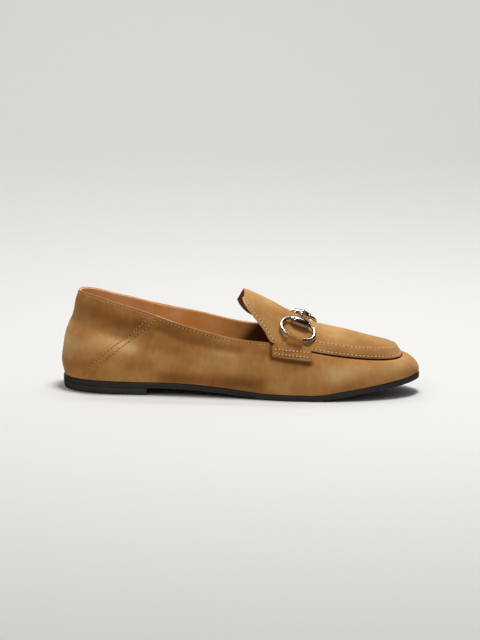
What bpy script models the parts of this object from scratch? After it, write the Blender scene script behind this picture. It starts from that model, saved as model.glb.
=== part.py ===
"""Bit loafer, right shoe: construction of the upper, apron, soles, saddle straps and jointed bit.

Frame: origin on the floor under the heel's centre, +X to the toe, -Y to the lateral side, +Z up.
"""

import math

import bmesh
import bpy
import numpy as np
from mathutils import Matrix, Vector

LENGTH = 0.256
BALL_WIDTH = 0.080
BACK_HEIGHT = 0.070
HEEL_SETBACK = 0.031
SOLE_THICKNESS = 0.0040
HEEL_LIFT = 0.0050
HEEL_BREAST_X = 0.0316
WALL = 0.0020
APRON_THICKNESS = 0.0014
APRON_INSET = 0.0004
APRON_LIFT = 0.0005
INSOLE_THICKNESS = 0.0020
GAP = 0.0003
HEEL_BLOCK = HEEL_LIFT - GAP
EDGE_ROUND = 0.0005
SOLE_PROUD = 0.0006
INSOLE_PLAY = 0.0008
SEAM_STEP = 0.0006
STRAP_THICKNESS = 0.0012
WIRE_RADIUS = 0.0013
RING_HALF_LENGTH = 0.0123
RING_HALF_WIDTH = 0.0083
BAR_HALF_LENGTH = 0.0077
SLEEVE_HALF_LENGTH = 0.0070
SLEEVE_RADIUS = 0.0034
SLEEVE_BORE = 0.00145
BAR_HEIGHT = 0.0041
LINK_HEIGHT = 0.0037
EYE_RADIUS = 0.0023
EYE_WIRE = 0.00075
EYE_SPACING = 0.0018

LOW_BAR_ETA = (0.88, 0.88)
HIGH_BAR_ETA = (0.49, 0.53)
LOW_BAR_HEIGHT = 0.0040
SADDLE_PLACE = 0.6425
SADDLE_HALF_WIDTH = 0.0135
SADDLE_BOTTOM = -0.0092
SADDLE_SHOULDER = (0.0020, 0.0004)
SADDLE_BOTTOM_SKEW = 0.0003
SADDLE_SHOULDER_SKEW = 0.0014
NECK_HALF_WIDTH = 0.0053
LOOP_REACH = 0.0056
SHANK_RADIUS = 0.0015
SHANK_TIP = 0.00085

SADDLE_COLUMNS = 8
WALL_ROWS = 8
REAR_COLUMNS = 9
QUARTER_COLUMNS = 13
VAMP_COLUMNS = 16
ACROSS = 8
SOLE_COLUMNS = 32

# Sections of the last, one row each: feather x, half width; top x, half width, z;
# belly (push outwards low on the wall), roll (push outwards at the top), drop of the roll.
# x in shares of LENGTH, widths, belly and roll of BALL_WIDTH, z of BACK_HEIGHT.
BACK = (0.009, 0.000, 0.046, 0.000, 1.000, 0.055, 0.087, 0.32)
LATERAL = (
    (0.019, 0.138, 0.055, 0.106, 1.000, 0.055, 0.081, 0.32),
    (0.045, 0.250, 0.086, 0.185, 0.983, 0.055, 0.075, 0.32),
    (0.090, 0.329, 0.129, 0.227, 0.943, 0.050, 0.062, 0.32),
    (0.152, 0.366, 0.188, 0.270, 0.886, 0.040, 0.050, 0.34),
    (0.238, 0.372, 0.258, 0.307, 0.817, 0.033, 0.037, 0.36),
    (0.324, 0.365, 0.332, 0.350, 0.733, 0.033, 0.030, 0.36),
    (0.402, 0.378, 0.402, 0.383, 0.671, 0.037, 0.030, 0.36),
    (0.480, 0.412, 0.473, 0.405, 0.620, 0.040, 0.033, 0.36),
    (0.551, 0.453, 0.535, 0.415, 0.594, 0.040, 0.045, 0.34),
    (0.617, 0.484, 0.594, 0.417, 0.571, 0.037, 0.057, 0.28),
    (0.680, 0.495, 0.648, 0.409, 0.529, 0.035, 0.068, 0.20),
    (0.738, 0.486, 0.699, 0.394, 0.490, 0.035, 0.075, 0.14),
    (0.793, 0.455, 0.746, 0.375, 0.457, 0.035, 0.079, 0.10),
    (0.844, 0.408, 0.793, 0.350, 0.431, 0.035, 0.080, 0.06),
    (0.891, 0.345, 0.840, 0.318, 0.411, 0.035, 0.077, 0.04),
    (0.930, 0.273, 0.883, 0.273, 0.397, 0.035, 0.075, 0.02),
    (0.962, 0.190, 0.920, 0.204, 0.390, 0.035, 0.072, 0.00),
    (0.984, 0.091, 0.944, 0.100, 0.393, 0.034, 0.072, 0.00),
)
MEDIAL = (
    (0.019, 0.138, 0.055, 0.106, 0.999, 0.055, 0.081, 0.32),
    (0.045, 0.250, 0.086, 0.180, 0.980, 0.055, 0.075, 0.32),
    (0.090, 0.329, 0.129, 0.220, 0.937, 0.050, 0.062, 0.32),
    (0.152, 0.350, 0.188, 0.258, 0.883, 0.040, 0.050, 0.34),
    (0.238, 0.320, 0.258, 0.287, 0.817, 0.033, 0.037, 0.36),
    (0.324, 0.295, 0.332, 0.312, 0.764, 0.035, 0.033, 0.36),
    (0.402, 0.299, 0.402, 0.330, 0.714, 0.042, 0.033, 0.36),
    (0.480, 0.334, 0.473, 0.348, 0.651, 0.042, 0.035, 0.36),
    (0.555, 0.385, 0.539, 0.366, 0.614, 0.040, 0.045, 0.34),
    (0.621, 0.432, 0.598, 0.379, 0.583, 0.037, 0.057, 0.28),
    (0.684, 0.463, 0.652, 0.385, 0.537, 0.035, 0.068, 0.20),
    (0.742, 0.465, 0.703, 0.383, 0.497, 0.035, 0.075, 0.14),
    (0.797, 0.447, 0.754, 0.375, 0.461, 0.035, 0.079, 0.10),
    (0.848, 0.416, 0.801, 0.360, 0.436, 0.035, 0.080, 0.06),
    (0.895, 0.375, 0.848, 0.338, 0.414, 0.035, 0.077, 0.04),
    (0.938, 0.323, 0.891, 0.300, 0.400, 0.035, 0.075, 0.02),
    (0.971, 0.253, 0.926, 0.244, 0.394, 0.035, 0.072, 0.00),
    (0.990, 0.156, 0.946, 0.156, 0.397, 0.034, 0.072, 0.00),
)
# The tip lies a little to the medial side; its y is TIP_Y.
TIP = (0.997, 0.037, 0.952, 0.037, 0.400, 0.033, 0.077, 0.00)
THROAT = 10
RING_STATION = THROAT + 0.99
LINK_ETA = 0.05
TIP_STATION = 19

# Tongue behind the throat: lateral x, half width, z; medial x, half width, z; crest x, z;
# power of the crown on the lateral and on the medial side.
TONGUE = (
    (0.509, 0.206, 0.985, 0.4895, 0.222, 0.892, 0.506, 1.030, 1.30, 1.20),
    (0.514, 0.260, 0.940, 0.496, 0.262, 0.829, 0.521, 1.014, 1.25, 1.22),
    (0.531, 0.304, 0.860, 0.512, 0.300, 0.752, 0.545, 0.978, 1.20, 1.22),
    (0.554, 0.348, 0.760, 0.538, 0.334, 0.690, 0.570, 0.935, 1.10, 1.20),
    (0.576, 0.390, 0.651, 0.570, 0.361, 0.637, 0.592, 0.895, 1.05, 1.18),
)
# Crown of the plug from the throat to the station before the tip: x, z and the two powers.
CREST = (
    (0.611, 0.855, 1.00, 1.15),
    (0.662, 0.755, 0.93, 1.05),
    (0.711, 0.686, 0.82, 0.93),
    (0.757, 0.650, 0.72, 0.80),
    (0.802, 0.614, 0.66, 0.70),
    (0.848, 0.570, 0.60, 0.62),
    (0.889, 0.537, 0.55, 0.57),
    (0.924, 0.502, 0.50, 0.50),
    (0.945, 0.452, 0.50, 0.50),
)
TIP_CREST = (0.952, 0.402, 0.50)

# Height of the sole's underside: x in shares of LENGTH, z of HEEL_LIFT.
RISE = (
    (0.000, 1.00),
    (0.258, 1.00),
    (0.336, 0.92),
    (0.414, 0.70),
    (0.492, 0.38),
    (0.543, 0.14),
    (0.574, 0.00),
    (0.699, 0.00),
    (0.738, 0.16),
    (0.785, 0.54),
    (0.840, 0.98),
    (0.902, 1.44),
    (0.949, 1.82),
    (1.004, 2.26),
)

# Diagonal seam between quarter and back piece: x at the feather and at the topline.
SEAM_FEATHER_X = -0.017
SEAM_TOP_X = 0.033

# Rows of a saddle under its loop: share of the way up, share of the full width.
SADDLE_ROWS = (
    (0.00, 1.00),
    (0.20, 1.00),
    (0.40, 1.00),
    (0.58, 1.00),
    (0.70, 0.98),
    (0.80, 0.86),
    (0.87, 0.60),
    (0.93, 0.34),
    (1.02, 0.06),
)

# Loop of a saddle round the ring's lower bar, in shares of LOOP_REACH: along the slope, over the bar.
LOOP = (
    (-0.45, 0.05),
    (-0.32, 0.29),
    (-0.11, 0.39),
    (0.14, 0.39),
    (0.43, 0.30),
    (0.71, 0.16),
    (0.93, -0.02),
    (1.00, -0.21),
    (0.88, -0.38),
    (0.61, -0.45),
    (0.32, -0.46),
    (0.07, -0.46),
)

# Profile of a sleeve: shares of its half length and of its radius.
SLEEVE = (
    (-1.00, 0.64),
    (-0.88, 0.82),
    (-0.60, 0.95),
    (-0.20, 1.00),
    (0.20, 1.00),
    (0.60, 0.95),
    (0.88, 0.82),
    (1.00, 0.64),
)


def monotone(table):
    """Return a smooth function through (x, y) rows that keeps flats flat."""
    xs = np.array([row[0] for row in table])
    ys = np.array([row[1] for row in table])
    steps = np.diff(xs)
    slopes = np.diff(ys) / steps
    tangents = np.zeros(len(xs))
    for i in range(1, len(xs) - 1):
        if slopes[i - 1] * slopes[i] > 0.0:
            tangents[i] = 2.0 / (1.0 / slopes[i - 1] + 1.0 / slopes[i])
    tangents[-1] = slopes[-1]

    def value(x):
        i = int(np.clip(np.searchsorted(xs, x) - 1, 0, len(steps) - 1))
        t = min(max((x - xs[i]) / steps[i], 0.0), 1.0)
        a = (1.0 + 2.0 * t) * (1.0 - t) ** 2
        b = t * (1.0 - t) ** 2 * steps[i]
        c = t * t * (3.0 - 2.0 * t)
        d = t * t * (t - 1.0) * steps[i]
        return a * ys[i] + b * tangents[i] + c * ys[i + 1] + d * tangents[i + 1]

    return value


def spline(knots, rows, closed=False):
    """Return a C2 cubic through rows at knots, periodic when closed."""
    knots = np.asarray(knots, float)
    rows = np.asarray(rows, float)
    if closed:
        pad = 4
        period = knots[-1] - knots[0]
        knots = np.concatenate([knots[-1 - pad:-1] - period, knots, knots[1:1 + pad] + period])
        rows = np.concatenate([rows[-1 - pad:-1], rows, rows[1:1 + pad]])
    n = len(knots)
    h = np.diff(knots)
    system = np.eye(n)
    right = np.zeros_like(rows)
    for i in range(1, n - 1):
        system[i, i - 1] = h[i - 1]
        system[i, i] = 2.0 * (h[i - 1] + h[i])
        system[i, i + 1] = h[i]
        right[i] = 6.0 * ((rows[i + 1] - rows[i]) / h[i] - (rows[i] - rows[i - 1]) / h[i - 1])
    bend = np.linalg.solve(system, right)

    def value(t):
        i = int(np.clip(np.searchsorted(knots, t) - 1, 0, n - 2))
        a = (knots[i + 1] - t) / h[i]
        b = (t - knots[i]) / h[i]
        curve = (a ** 3 - a) * bend[i] + (b ** 3 - b) * bend[i + 1]
        return a * rows[i] + b * rows[i + 1] + curve * h[i] ** 2 / 6.0

    return value


rise_share = monotone(RISE)


def rise(x):
    """Height of the sole's underside at x."""
    return rise_share((x + HEEL_SETBACK) / LENGTH) * HEEL_LIFT


def place_x(share):
    """X of a share of the length."""
    return share * LENGTH - HEEL_SETBACK


def section(row, side):
    """Turn a table row into metres: feather x y, top x y z, belly, roll, drop."""
    fx, fy, sx, sy, sz, belly, roll, drop = row
    return (
        place_x(fx), side * fy * BALL_WIDTH,
        place_x(sx), side * sy * BALL_WIDTH, sz * BACK_HEIGHT,
        belly * BALL_WIDTH, roll * BALL_WIDTH, drop,
    )


def last_curve():
    """Closed curve of the sections, and the parameter of each station on each side."""
    rows = [section(BACK, 1.0)]
    rows += [section(row, -1.0) for row in LATERAL]
    rows += [section(TIP, 1.0)]
    rows += [section(row, 1.0) for row in reversed(MEDIAL)]
    rows += [rows[0]]
    rows = np.array(rows)
    chords = np.linalg.norm(np.diff(rows[:, :2], axis=0), axis=1)
    chords += np.linalg.norm(np.diff(rows[:, 2:4], axis=0), axis=1)
    knots = np.concatenate([[0.0], np.cumsum(chords)])
    knots /= knots[-1]
    curve = spline(knots, rows, closed=True)
    return curve, knots[:TIP_STATION + 1], knots[TIP_STATION:][::-1]


last, lateral_knots, medial_knots = last_curve()


def station_to_t(station, side):
    """Parameter on the closed curve of a fractional station on one side."""
    knots = lateral_knots if side < 0 else medial_knots
    return float(np.interp(station, np.arange(TIP_STATION + 1), knots))


def outward(t, top=False):
    """Horizontal outward direction of the feather or of the top line at t."""
    k = 2 if top else 0
    step = last((t + 0.002) % 1.0)[k:k + 2] - last((t - 0.002) % 1.0)[k:k + 2]
    normal = np.array([step[1], -step[0], 0.0])
    return normal / np.linalg.norm(normal)


def wall_base(t, v):
    """Point of the upper's wall, v 0 at the feather and 1 at the top."""
    t = t % 1.0
    fx, fy, sx, sy, sz, belly, roll, drop = last(t)
    low = np.array([fx, fy, rise(fx) + SOLE_THICKNESS + GAP])
    high = np.array([sx, sy, sz])
    tall = high[2] - low[2]
    first = low + outward(t) * belly + np.array([0.0, 0.0, 0.35 * tall])
    second = high + outward(t, top=True) * roll - np.array([0.0, 0.0, drop * tall])
    u = 1.0 - v
    return u ** 3 * low + 3 * u * u * v * first + 3 * u * v * v * second + v ** 3 * high


def wall_point(t, v, lift=0.0):
    """Point of the wall moved out along its normal by lift."""
    point = wall_base(t, v)
    if lift == 0.0:
        return point
    along = wall_base(t + 0.002, v) - wall_base(t - 0.002, v)
    v0 = min(max(v, 0.02), 0.98)
    up = wall_base(t, v0 + 0.02) - wall_base(t, v0 - 0.02)
    normal = np.cross(along, up)
    return point + normal * (lift / np.linalg.norm(normal))


def apron_curves():
    """Curves of the plug and tongue: lateral edge, medial edge, crest x and z, power."""
    rows = []
    for lx, ly, lz, mx, my, mz, cx, cz, *powers in TONGUE:
        rows.append((
            place_x(lx), -ly * BALL_WIDTH, lz * BACK_HEIGHT,
            place_x(mx), my * BALL_WIDTH, mz * BACK_HEIGHT,
            place_x(cx), cz * BACK_HEIGHT, *powers,
        ))
    for k, (cx, cz, *powers) in enumerate(CREST):
        low = section(LATERAL[THROAT - 1 + k], -1.0)
        high = section(MEDIAL[THROAT - 1 + k], 1.0)
        rows.append((*low[2:5], *high[2:5], place_x(cx), cz * BACK_HEIGHT, *powers))
    tip = section(TIP, 1.0)
    crest_x, crest_z, power = TIP_CREST
    rows.append((*tip[2:5], *tip[2:5], place_x(crest_x), crest_z * BACK_HEIGHT, power, power))
    return spline(np.arange(len(rows)) - len(TONGUE) + THROAT, rows)


apron = apron_curves()
TONGUE_START = float(THROAT - len(TONGUE))


def apron_edge(station, side):
    """Edge point of the plug on one side and the plan direction inwards."""
    k = 0 if side < 0 else 3
    point = apron(station)[k:k + 3]
    step = apron(min(station + 0.02, TIP_STATION))[k:k + 2] - apron(station - 0.02)[k:k + 2]
    normal = np.array([-step[1], step[0], 0.0]) * -side
    normal /= np.linalg.norm(normal)
    square = np.array([0.0, -side, 0.0])
    blend = min(max((station - THROAT) / 4.0, 0.0), 1.0)
    normal = blend * normal + (1.0 - blend) * square
    return point, normal / np.linalg.norm(normal)


def apron_point(station, eta, depth=0.0, lift=0.0):
    """Point of the plug's surface, eta -1 at the lateral edge and 1 at the medial edge."""
    low, low_in = apron_edge(station, -1.0)
    high, high_in = apron_edge(station, 1.0)
    low = low + low_in * depth
    high = high + high_in * depth
    share = 0.5 * (1.0 + eta)
    base = low + (high - low) * share
    middle = 0.5 * (low + high)
    crest_x, crest_z, lateral_power, medial_power = apron(station)[6:10]
    power = lateral_power if eta < 0.0 else medial_power
    crest_x += 0.5 * (low_in[0] + high_in[0]) * depth
    crown = max(1.0 - eta * eta, 0.0) ** power
    tall = max(crest_z - depth - middle[2], 0.0)
    return base + np.array([(crest_x - middle[0]) * crown, 0.0, tall * crown + lift])


def plug_normal(station, eta):
    """Outward normal of the plug's surface."""
    along = apron_point(station + 0.03, eta) - apron_point(station - 0.03, eta)
    across = apron_point(station, eta + 0.02) - apron_point(station, eta - 0.02)
    normal = np.cross(along, across)
    return normal / np.linalg.norm(normal)


def new_object(name, vertices, faces, collection):
    """Make a mesh object with outward faces."""
    mesh = bpy.data.meshes.new(name)
    mesh.from_pydata([tuple(float(c) for c in v) for v in vertices], [], faces)
    work = bmesh.new()
    work.from_mesh(mesh)
    bmesh.ops.remove_doubles(work, verts=work.verts, dist=1e-6)
    bmesh.ops.recalc_face_normals(work, faces=work.faces)
    work.to_mesh(mesh)
    work.free()
    made = bpy.data.objects.new(name, mesh)
    collection.objects.link(made)
    return made


def grid_faces(rows, columns, start=0):
    """Faces of a grid of rows by columns vertices, stored row by row."""
    faces = []
    for j in range(rows - 1):
        for i in range(columns - 1):
            a = start + j * columns + i
            faces.append((a, a + 1, a + columns + 1, a + columns))
    return faces


def solidify(target, thickness, offset=-1.0):
    """Give an open sheet its thickness."""
    modifier = target.modifiers.new("thickness", "SOLIDIFY")
    modifier.thickness = thickness
    modifier.offset = offset
    modifier.use_even_offset = False
    return modifier


def finish(target, material):
    """Give an object its material and smooth shading."""
    target.data.materials.append(material)
    for polygon in target.data.polygons:
        polygon.use_smooth = True


def make_material(name, colour, roughness, metallic=0.0):
    """Make a Principled material from linear colour values."""
    material = bpy.data.materials.new(name)
    material.use_nodes = True
    shader = material.node_tree.nodes["Principled BSDF"]
    shader.inputs["Base Color"].default_value = (*colour, 1.0)
    shader.inputs["Roughness"].default_value = roughness
    shader.inputs["Metallic"].default_value = metallic
    material.diffuse_color = (*colour, 1.0)
    return material


def find_t(x, side, top):
    """Parameter where the feather or top line has x, on one side of the rear half."""
    samples = [station_to_t(s, side) for s in np.linspace(0.0, THROAT, 400)]
    k = 2 if top else 0
    values = [last(t % 1.0)[k] for t in samples]
    return float(np.interp(x, values, samples))


def wall_columns():
    """Columns of the upper's wall: t at the feather, t at the top, lift, vamp station or None."""
    columns = []
    sides = []
    for side in (-1.0, 1.0):
        seam_low = find_t(SEAM_FEATHER_X, side, top=False)
        seam_high = find_t(SEAM_TOP_X, side, top=True)
        start = station_to_t(0.0, side)
        throat = station_to_t(THROAT, side)
        rear = []
        for i in range(REAR_COLUMNS):
            share = i / REAR_COLUMNS
            rear.append((
                start + (seam_low - start) * share,
                start + (seam_high - start) * share, 0.0, None,
            ))
        nudge = 0.0008 if side < 0 else -0.0008
        rear.append((seam_low, seam_high, 0.0, None))
        rear.append((seam_low + nudge, seam_high + nudge, SEAM_STEP, None))
        for i in range(1, QUARTER_COLUMNS):
            share = i / QUARTER_COLUMNS
            rear.append((
                seam_low + (throat - seam_low) * share,
                seam_high + (throat - seam_high) * share,
                SEAM_STEP * max(1.0 - 1.4 * share, 0.0), None,
            ))
        sides.append(rear)
    columns += sides[0]
    stations = [THROAT + (TIP_STATION - THROAT) * i / VAMP_COLUMNS for i in range(VAMP_COLUMNS + 1)]
    for station in stations:
        t = station_to_t(station, -1.0)
        columns.append((t, t, 0.0, station))
    for station in reversed(stations[:-1]):
        t = station_to_t(station, 1.0)
        columns.append((t, t, 0.0, -station))
    columns += list(reversed(sides[1][1:]))
    return columns, stations


def build_upper(collection):
    """One hollow solid: wall round the foot, shelf under the plug's edge and vamp crown."""
    columns, stations = wall_columns()
    vertices = []
    faces = []
    count = len(columns)
    for low, high, lift, _ in columns:
        for k in range(WALL_ROWS + 1):
            v = k / WALL_ROWS
            grown = min(v / 0.2, 1.0)
            vertices.append(wall_point(low + (high - low) * v, v, lift * grown))
    tall = WALL_ROWS + 1
    for c in range(count):
        d = (c + 1) % count
        for k in range(WALL_ROWS):
            faces.append((c * tall + k, d * tall + k, d * tall + k + 1, c * tall + k + 1))
    top_of = {}
    for c, column in enumerate(columns):
        if column[3] is not None:
            top_of[column[3]] = c * tall + WALL_ROWS
    start = len(vertices)
    depth = APRON_INSET + APRON_THICKNESS + GAP
    for station in stations[:-1]:
        for i in range(ACROSS + 1):
            eta = -math.cos(math.pi * i / ACROSS)
            vertices.append(apron_point(station, eta, depth))
    tip_inner = len(vertices)
    vertices.append(apron_point(TIP_STATION, -1.0, depth))
    wide = ACROSS + 1
    faces += grid_faces(len(stations) - 1, wide, start)
    for j in range(len(stations) - 2):
        here, there = stations[j], stations[j + 1]
        a = start + j * wide
        b = a + wide
        faces.append((top_of[here], top_of[there], b, a))
        faces.append((a + ACROSS, b + ACROSS, top_of[-there], top_of[-here]))
    row = start + (len(stations) - 2) * wide
    tip_top = top_of[stations[-1]]
    near = stations[-2]
    for i in range(ACROSS):
        faces.append((row + i, row + i + 1, tip_inner))
    faces.append((top_of[near], tip_top, tip_inner, row))
    faces.append((row + ACROSS, tip_inner, tip_top, top_of[-near]))
    made = new_object("upper", vertices, faces, collection)
    solidify(made, WALL)
    return made


def build_apron(collection):
    """Plug and tongue in one sheet, closed between an outer and an inner surface."""
    stations = [TONGUE_START + i / 2.0 for i in range(2 * len(TONGUE))]
    stations += [THROAT + (TIP_STATION - THROAT) * i / VAMP_COLUMNS for i in range(VAMP_COLUMNS)]
    wide = ACROSS + 1
    vertices = []
    faces = []
    for depth in (APRON_INSET, APRON_INSET + APRON_THICKNESS):
        for station in stations:
            for i in range(wide):
                eta = -math.cos(math.pi * i / ACROSS)
                vertices.append(apron_point(station, eta, depth, lift=APRON_LIFT))
        vertices.append(apron_point(TIP_STATION, 0.0, depth, lift=APRON_LIFT))
    layer = len(stations) * wide + 1
    last_row = (len(stations) - 1) * wide
    for start in (0, layer):
        faces += grid_faces(len(stations), wide, start)
        for i in range(ACROSS):
            faces.append((start + last_row + i, start + last_row + i + 1, start + layer - 1))
    rim = list(range(wide))
    rim += [j * wide + ACROSS for j in range(1, len(stations))]
    rim += [layer - 1]
    rim += [j * wide for j in range(len(stations) - 1, 0, -1)]
    for a, b in zip(rim, rim[1:] + rim[:1]):
        faces.append((a, b, b + layer, a + layer))
    return new_object("apron", vertices, faces, collection)


def outline(inset, stations):
    """Feather outline moved inwards by inset: matched lateral and medial points."""
    pairs = []
    for station in stations:
        pair = []
        for side in (-1.0, 1.0):
            t = station_to_t(station, side) % 1.0
            point = last(t)[:2]
            pair.append(np.array([*point, 0.0]) - outward(t) * inset)
        pairs.append(pair)
    return pairs


def plate(name, layers, stations, across, collection):
    """Closed plate from layers of (inset, height over the sole's underside)."""
    vertices = []
    faces = []
    wide = across + 1
    size = len(stations) * wide
    for inset, height in layers:
        for low, high in outline(inset, stations):
            for i in range(wide):
                point = low + (high - low) * (i / across)
                vertices.append((point[0], point[1], rise(point[0]) + height))
    for layer in (0, len(layers) - 1):
        faces += grid_faces(len(stations), wide, layer * size)
    rim = list(range(wide))
    rim += [j * wide + across for j in range(1, len(stations))]
    rim += [(len(stations) - 1) * wide + i for i in range(across - 1, -1, -1)]
    rim += [j * wide for j in range(len(stations) - 2, 0, -1)]
    for layer in range(len(layers) - 1):
        base = layer * size
        for a, b in zip(rim, rim[1:] + rim[:1]):
            faces.append((base + a, base + b, base + size + b, base + size + a))
    return new_object(name, vertices, faces, collection)


def spread(first, final, count, ease):
    """Stations from first to final, closer together at the round ends when eased."""
    shares = np.linspace(0.0, 1.0, count + 1)
    eased = 0.5 - 0.5 * np.cos(np.pi * shares)
    return [float(first + (final - first) * s) for s in (1.0 - ease) * shares + ease * eased]


def build_soles(collection):
    """Outsole, heel block and insole."""
    stations = spread(0.12, TIP_STATION - 0.12, SOLE_COLUMNS, 0.25)
    outsole = plate(
        "outsole",
        (
            (EDGE_ROUND - SOLE_PROUD, 0.0), (-SOLE_PROUD, EDGE_ROUND),
            (-SOLE_PROUD, SOLE_THICKNESS - EDGE_ROUND), (EDGE_ROUND - SOLE_PROUD, SOLE_THICKNESS),
        ),
        stations, 4, collection,
    )
    insole = plate(
        "insole",
        (
            (WALL + INSOLE_PLAY, SOLE_THICKNESS + GAP),
            (WALL + INSOLE_PLAY, SOLE_THICKNESS + GAP + INSOLE_THICKNESS),
        ),
        stations[1:-1], 4, collection,
    )
    breast = 0.0
    for station in np.linspace(3.0, 7.0, 400):
        if last(station_to_t(station, -1.0))[0] < HEEL_BREAST_X:
            breast = float(station)
    heel = plate(
        "heel",
        ((EDGE_ROUND, 0.0), (0.0, EDGE_ROUND), (0.0, HEEL_BLOCK)),
        spread(0.12, breast, 12, 0.0), 4, collection,
    )
    flat = heel.data
    for vertex in flat.vertices:
        vertex.co.z -= rise(vertex.co.x)
        if vertex.co.x > HEEL_BREAST_X - 0.0012:
            vertex.co.x = HEEL_BREAST_X
    return outsole, insole, heel


def composite(station, side):
    """Section line over wall and plug: points and their distance from the plug's edge."""
    points = [wall_base(station_to_t(station, side), v) for v in np.linspace(0.55, 0.97, 10)]
    points += [apron_point(station, -side * eta, APRON_INSET, APRON_LIFT)
               for eta in np.linspace(-0.99, -0.40, 14)]
    points = np.array(points)
    smooth = points.copy()
    smooth[1:-1] = 0.25 * points[:-2] + 0.5 * points[1:-1] + 0.25 * points[2:]
    lengths = np.concatenate([[0.0], np.cumsum(np.linalg.norm(np.diff(smooth, axis=0), axis=1))])
    return smooth, lengths - 0.5 * (lengths[9] + lengths[10])


def saddle_sheet(side):
    """Middle surface of a saddle up to its neck: function of (x, s) to a point and a normal."""
    stations = np.linspace(THROAT - 1.2, THROAT + 3.8, 51)
    lines = [composite(float(station), side) for station in stations]

    def point_at(x, s):
        row = np.array([[np.interp(s, length, line[:, k]) for k in range(3)]
                        for line, length in lines])
        return np.array([np.interp(x, row[:, 0], row[:, k]) for k in range(3)])

    def point_normal(x, s):
        along = point_at(x + 0.001, s) - point_at(x - 0.001, s)
        up = point_at(x, s + 0.0012) - point_at(x, s - 0.0012)
        normal = np.cross(along, up) * -side
        return point_at(x, s), normal / np.linalg.norm(normal)

    return point_normal


def unit(vector):
    """Vector of length one."""
    return vector / np.linalg.norm(vector)


def ring_frame(side):
    """Frame of a ring: centre, half distance of its bars, long axis, downhill axis, normal."""
    low_eta = side * LOW_BAR_ETA[side > 0.0]
    high_eta = side * HIGH_BAR_ETA[side > 0.0]
    low_at = (RING_STATION - 0.04, low_eta)
    high_at = (RING_STATION + 0.03, high_eta)
    low = apron_point(*low_at, APRON_INSET, APRON_LIFT) + plug_normal(*low_at) * LOW_BAR_HEIGHT
    high = apron_point(*high_at, APRON_INSET, APRON_LIFT) + plug_normal(*high_at) * BAR_HEIGHT
    middle = (RING_STATION, 0.5 * (low_eta + high_eta))
    step = apron_point(middle[0] + 0.5, middle[1]) - apron_point(middle[0] - 0.5, middle[1])
    down = unit(low - high)
    along = unit(step - down * float(np.dot(step, down)))
    normal = np.cross(along, down)
    if normal[2] < 0.0:
        normal = -normal
    return high + down * RING_HALF_WIDTH, RING_HALF_WIDTH, along, down, normal


def build_saddle(name, side, collection):
    """Side patch with a neck that folds over the ring's lower bar."""
    centre, half, along, down, normal = ring_frame(side)
    bar = centre + down * half
    surface = saddle_sheet(side)
    rows = []
    for share, width in SADDLE_ROWS:
        row = []
        for i in range(SADDLE_COLUMNS + 1):
            a = 2.0 * i / SADDLE_COLUMNS - 1.0
            low_x = place_x(SADDLE_PLACE) + a * SADDLE_HALF_WIDTH
            neck_x = bar[0] + a * NECK_HALF_WIDTH
            x = neck_x + (low_x - neck_x) * width
            bottom = SADDLE_BOTTOM + SADDLE_BOTTOM_SKEW * a
            shoulder = SADDLE_SHOULDER[side > 0.0] + SADDLE_SHOULDER_SKEW * a * width
            s = bottom + (shoulder - bottom) * share
            point, out = surface(x, s)
            row.append(point + out * (0.5 * STRAP_THICKNESS + 1.3 * GAP))
        rows.append(row)
    for s, height in LOOP:
        row = []
        for i in range(SADDLE_COLUMNS + 1):
            a = 2.0 * i / SADDLE_COLUMNS - 1.0
            point = bar + along * (a * NECK_HALF_WIDTH)
            row.append(point + (normal * height - down * s) * LOOP_REACH)
        rows.append(row)
    vertices = [point for row in rows for point in row]
    made = new_object(name, vertices, grid_faces(len(rows), SADDLE_COLUMNS + 1), collection)
    solidify(made, STRAP_THICKNESS, offset=0.0)
    return made


def frame_matrix(origin, x_axis, y_axis, z_axis):
    """World matrix from an origin and three axes."""
    matrix = Matrix.Identity(4)
    for k in range(3):
        matrix[k][0] = float(x_axis[k])
        matrix[k][1] = float(y_axis[k])
        matrix[k][2] = float(z_axis[k])
        matrix[k][3] = float(origin[k])
    return matrix


def build_ring(name, side, collection):
    """Oval ring: a straight upper bar for the sleeve and a round lower half."""
    centre, half, along, down, normal = ring_frame(side)
    points = [(-BAR_HALF_LENGTH, -half), (0.0, -half), (BAR_HALF_LENGTH, -half)]
    corner = RING_HALF_LENGTH - BAR_HALF_LENGTH
    for k in range(1, 6):
        angle = math.pi / 2.0 * k / 6.0
        points.append((BAR_HALF_LENGTH + corner * math.sin(angle), -half * math.cos(angle)))
    for k in range(0, 17):
        angle = math.pi * k / 16.0
        points.append((RING_HALF_LENGTH * math.cos(angle), half * math.sin(angle)))
    for k in range(5, 0, -1):
        angle = math.pi / 2.0 * k / 6.0
        points.append((-BAR_HALF_LENGTH - corner * math.sin(angle), -half * math.cos(angle)))
    wire = bpy.data.curves.new(name, "CURVE")
    wire.dimensions = "3D"
    wire.bevel_depth = WIRE_RADIUS
    wire.bevel_resolution = 3
    path = wire.splines.new("POLY")
    path.points.add(len(points) - 1)
    for point, (x, y) in zip(path.points, points):
        point.co = (x, y, 0.0, 1.0)
    path.use_cyclic_u = True
    made = bpy.data.objects.new(name, wire)
    made.matrix_world = frame_matrix(centre, along, np.cross(normal, along), normal)
    if float(np.dot(np.cross(normal, along), down)) < 0.0:
        made.matrix_world = frame_matrix(centre, -along, np.cross(normal, -along), normal)
    collection.objects.link(made)
    return made


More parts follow.
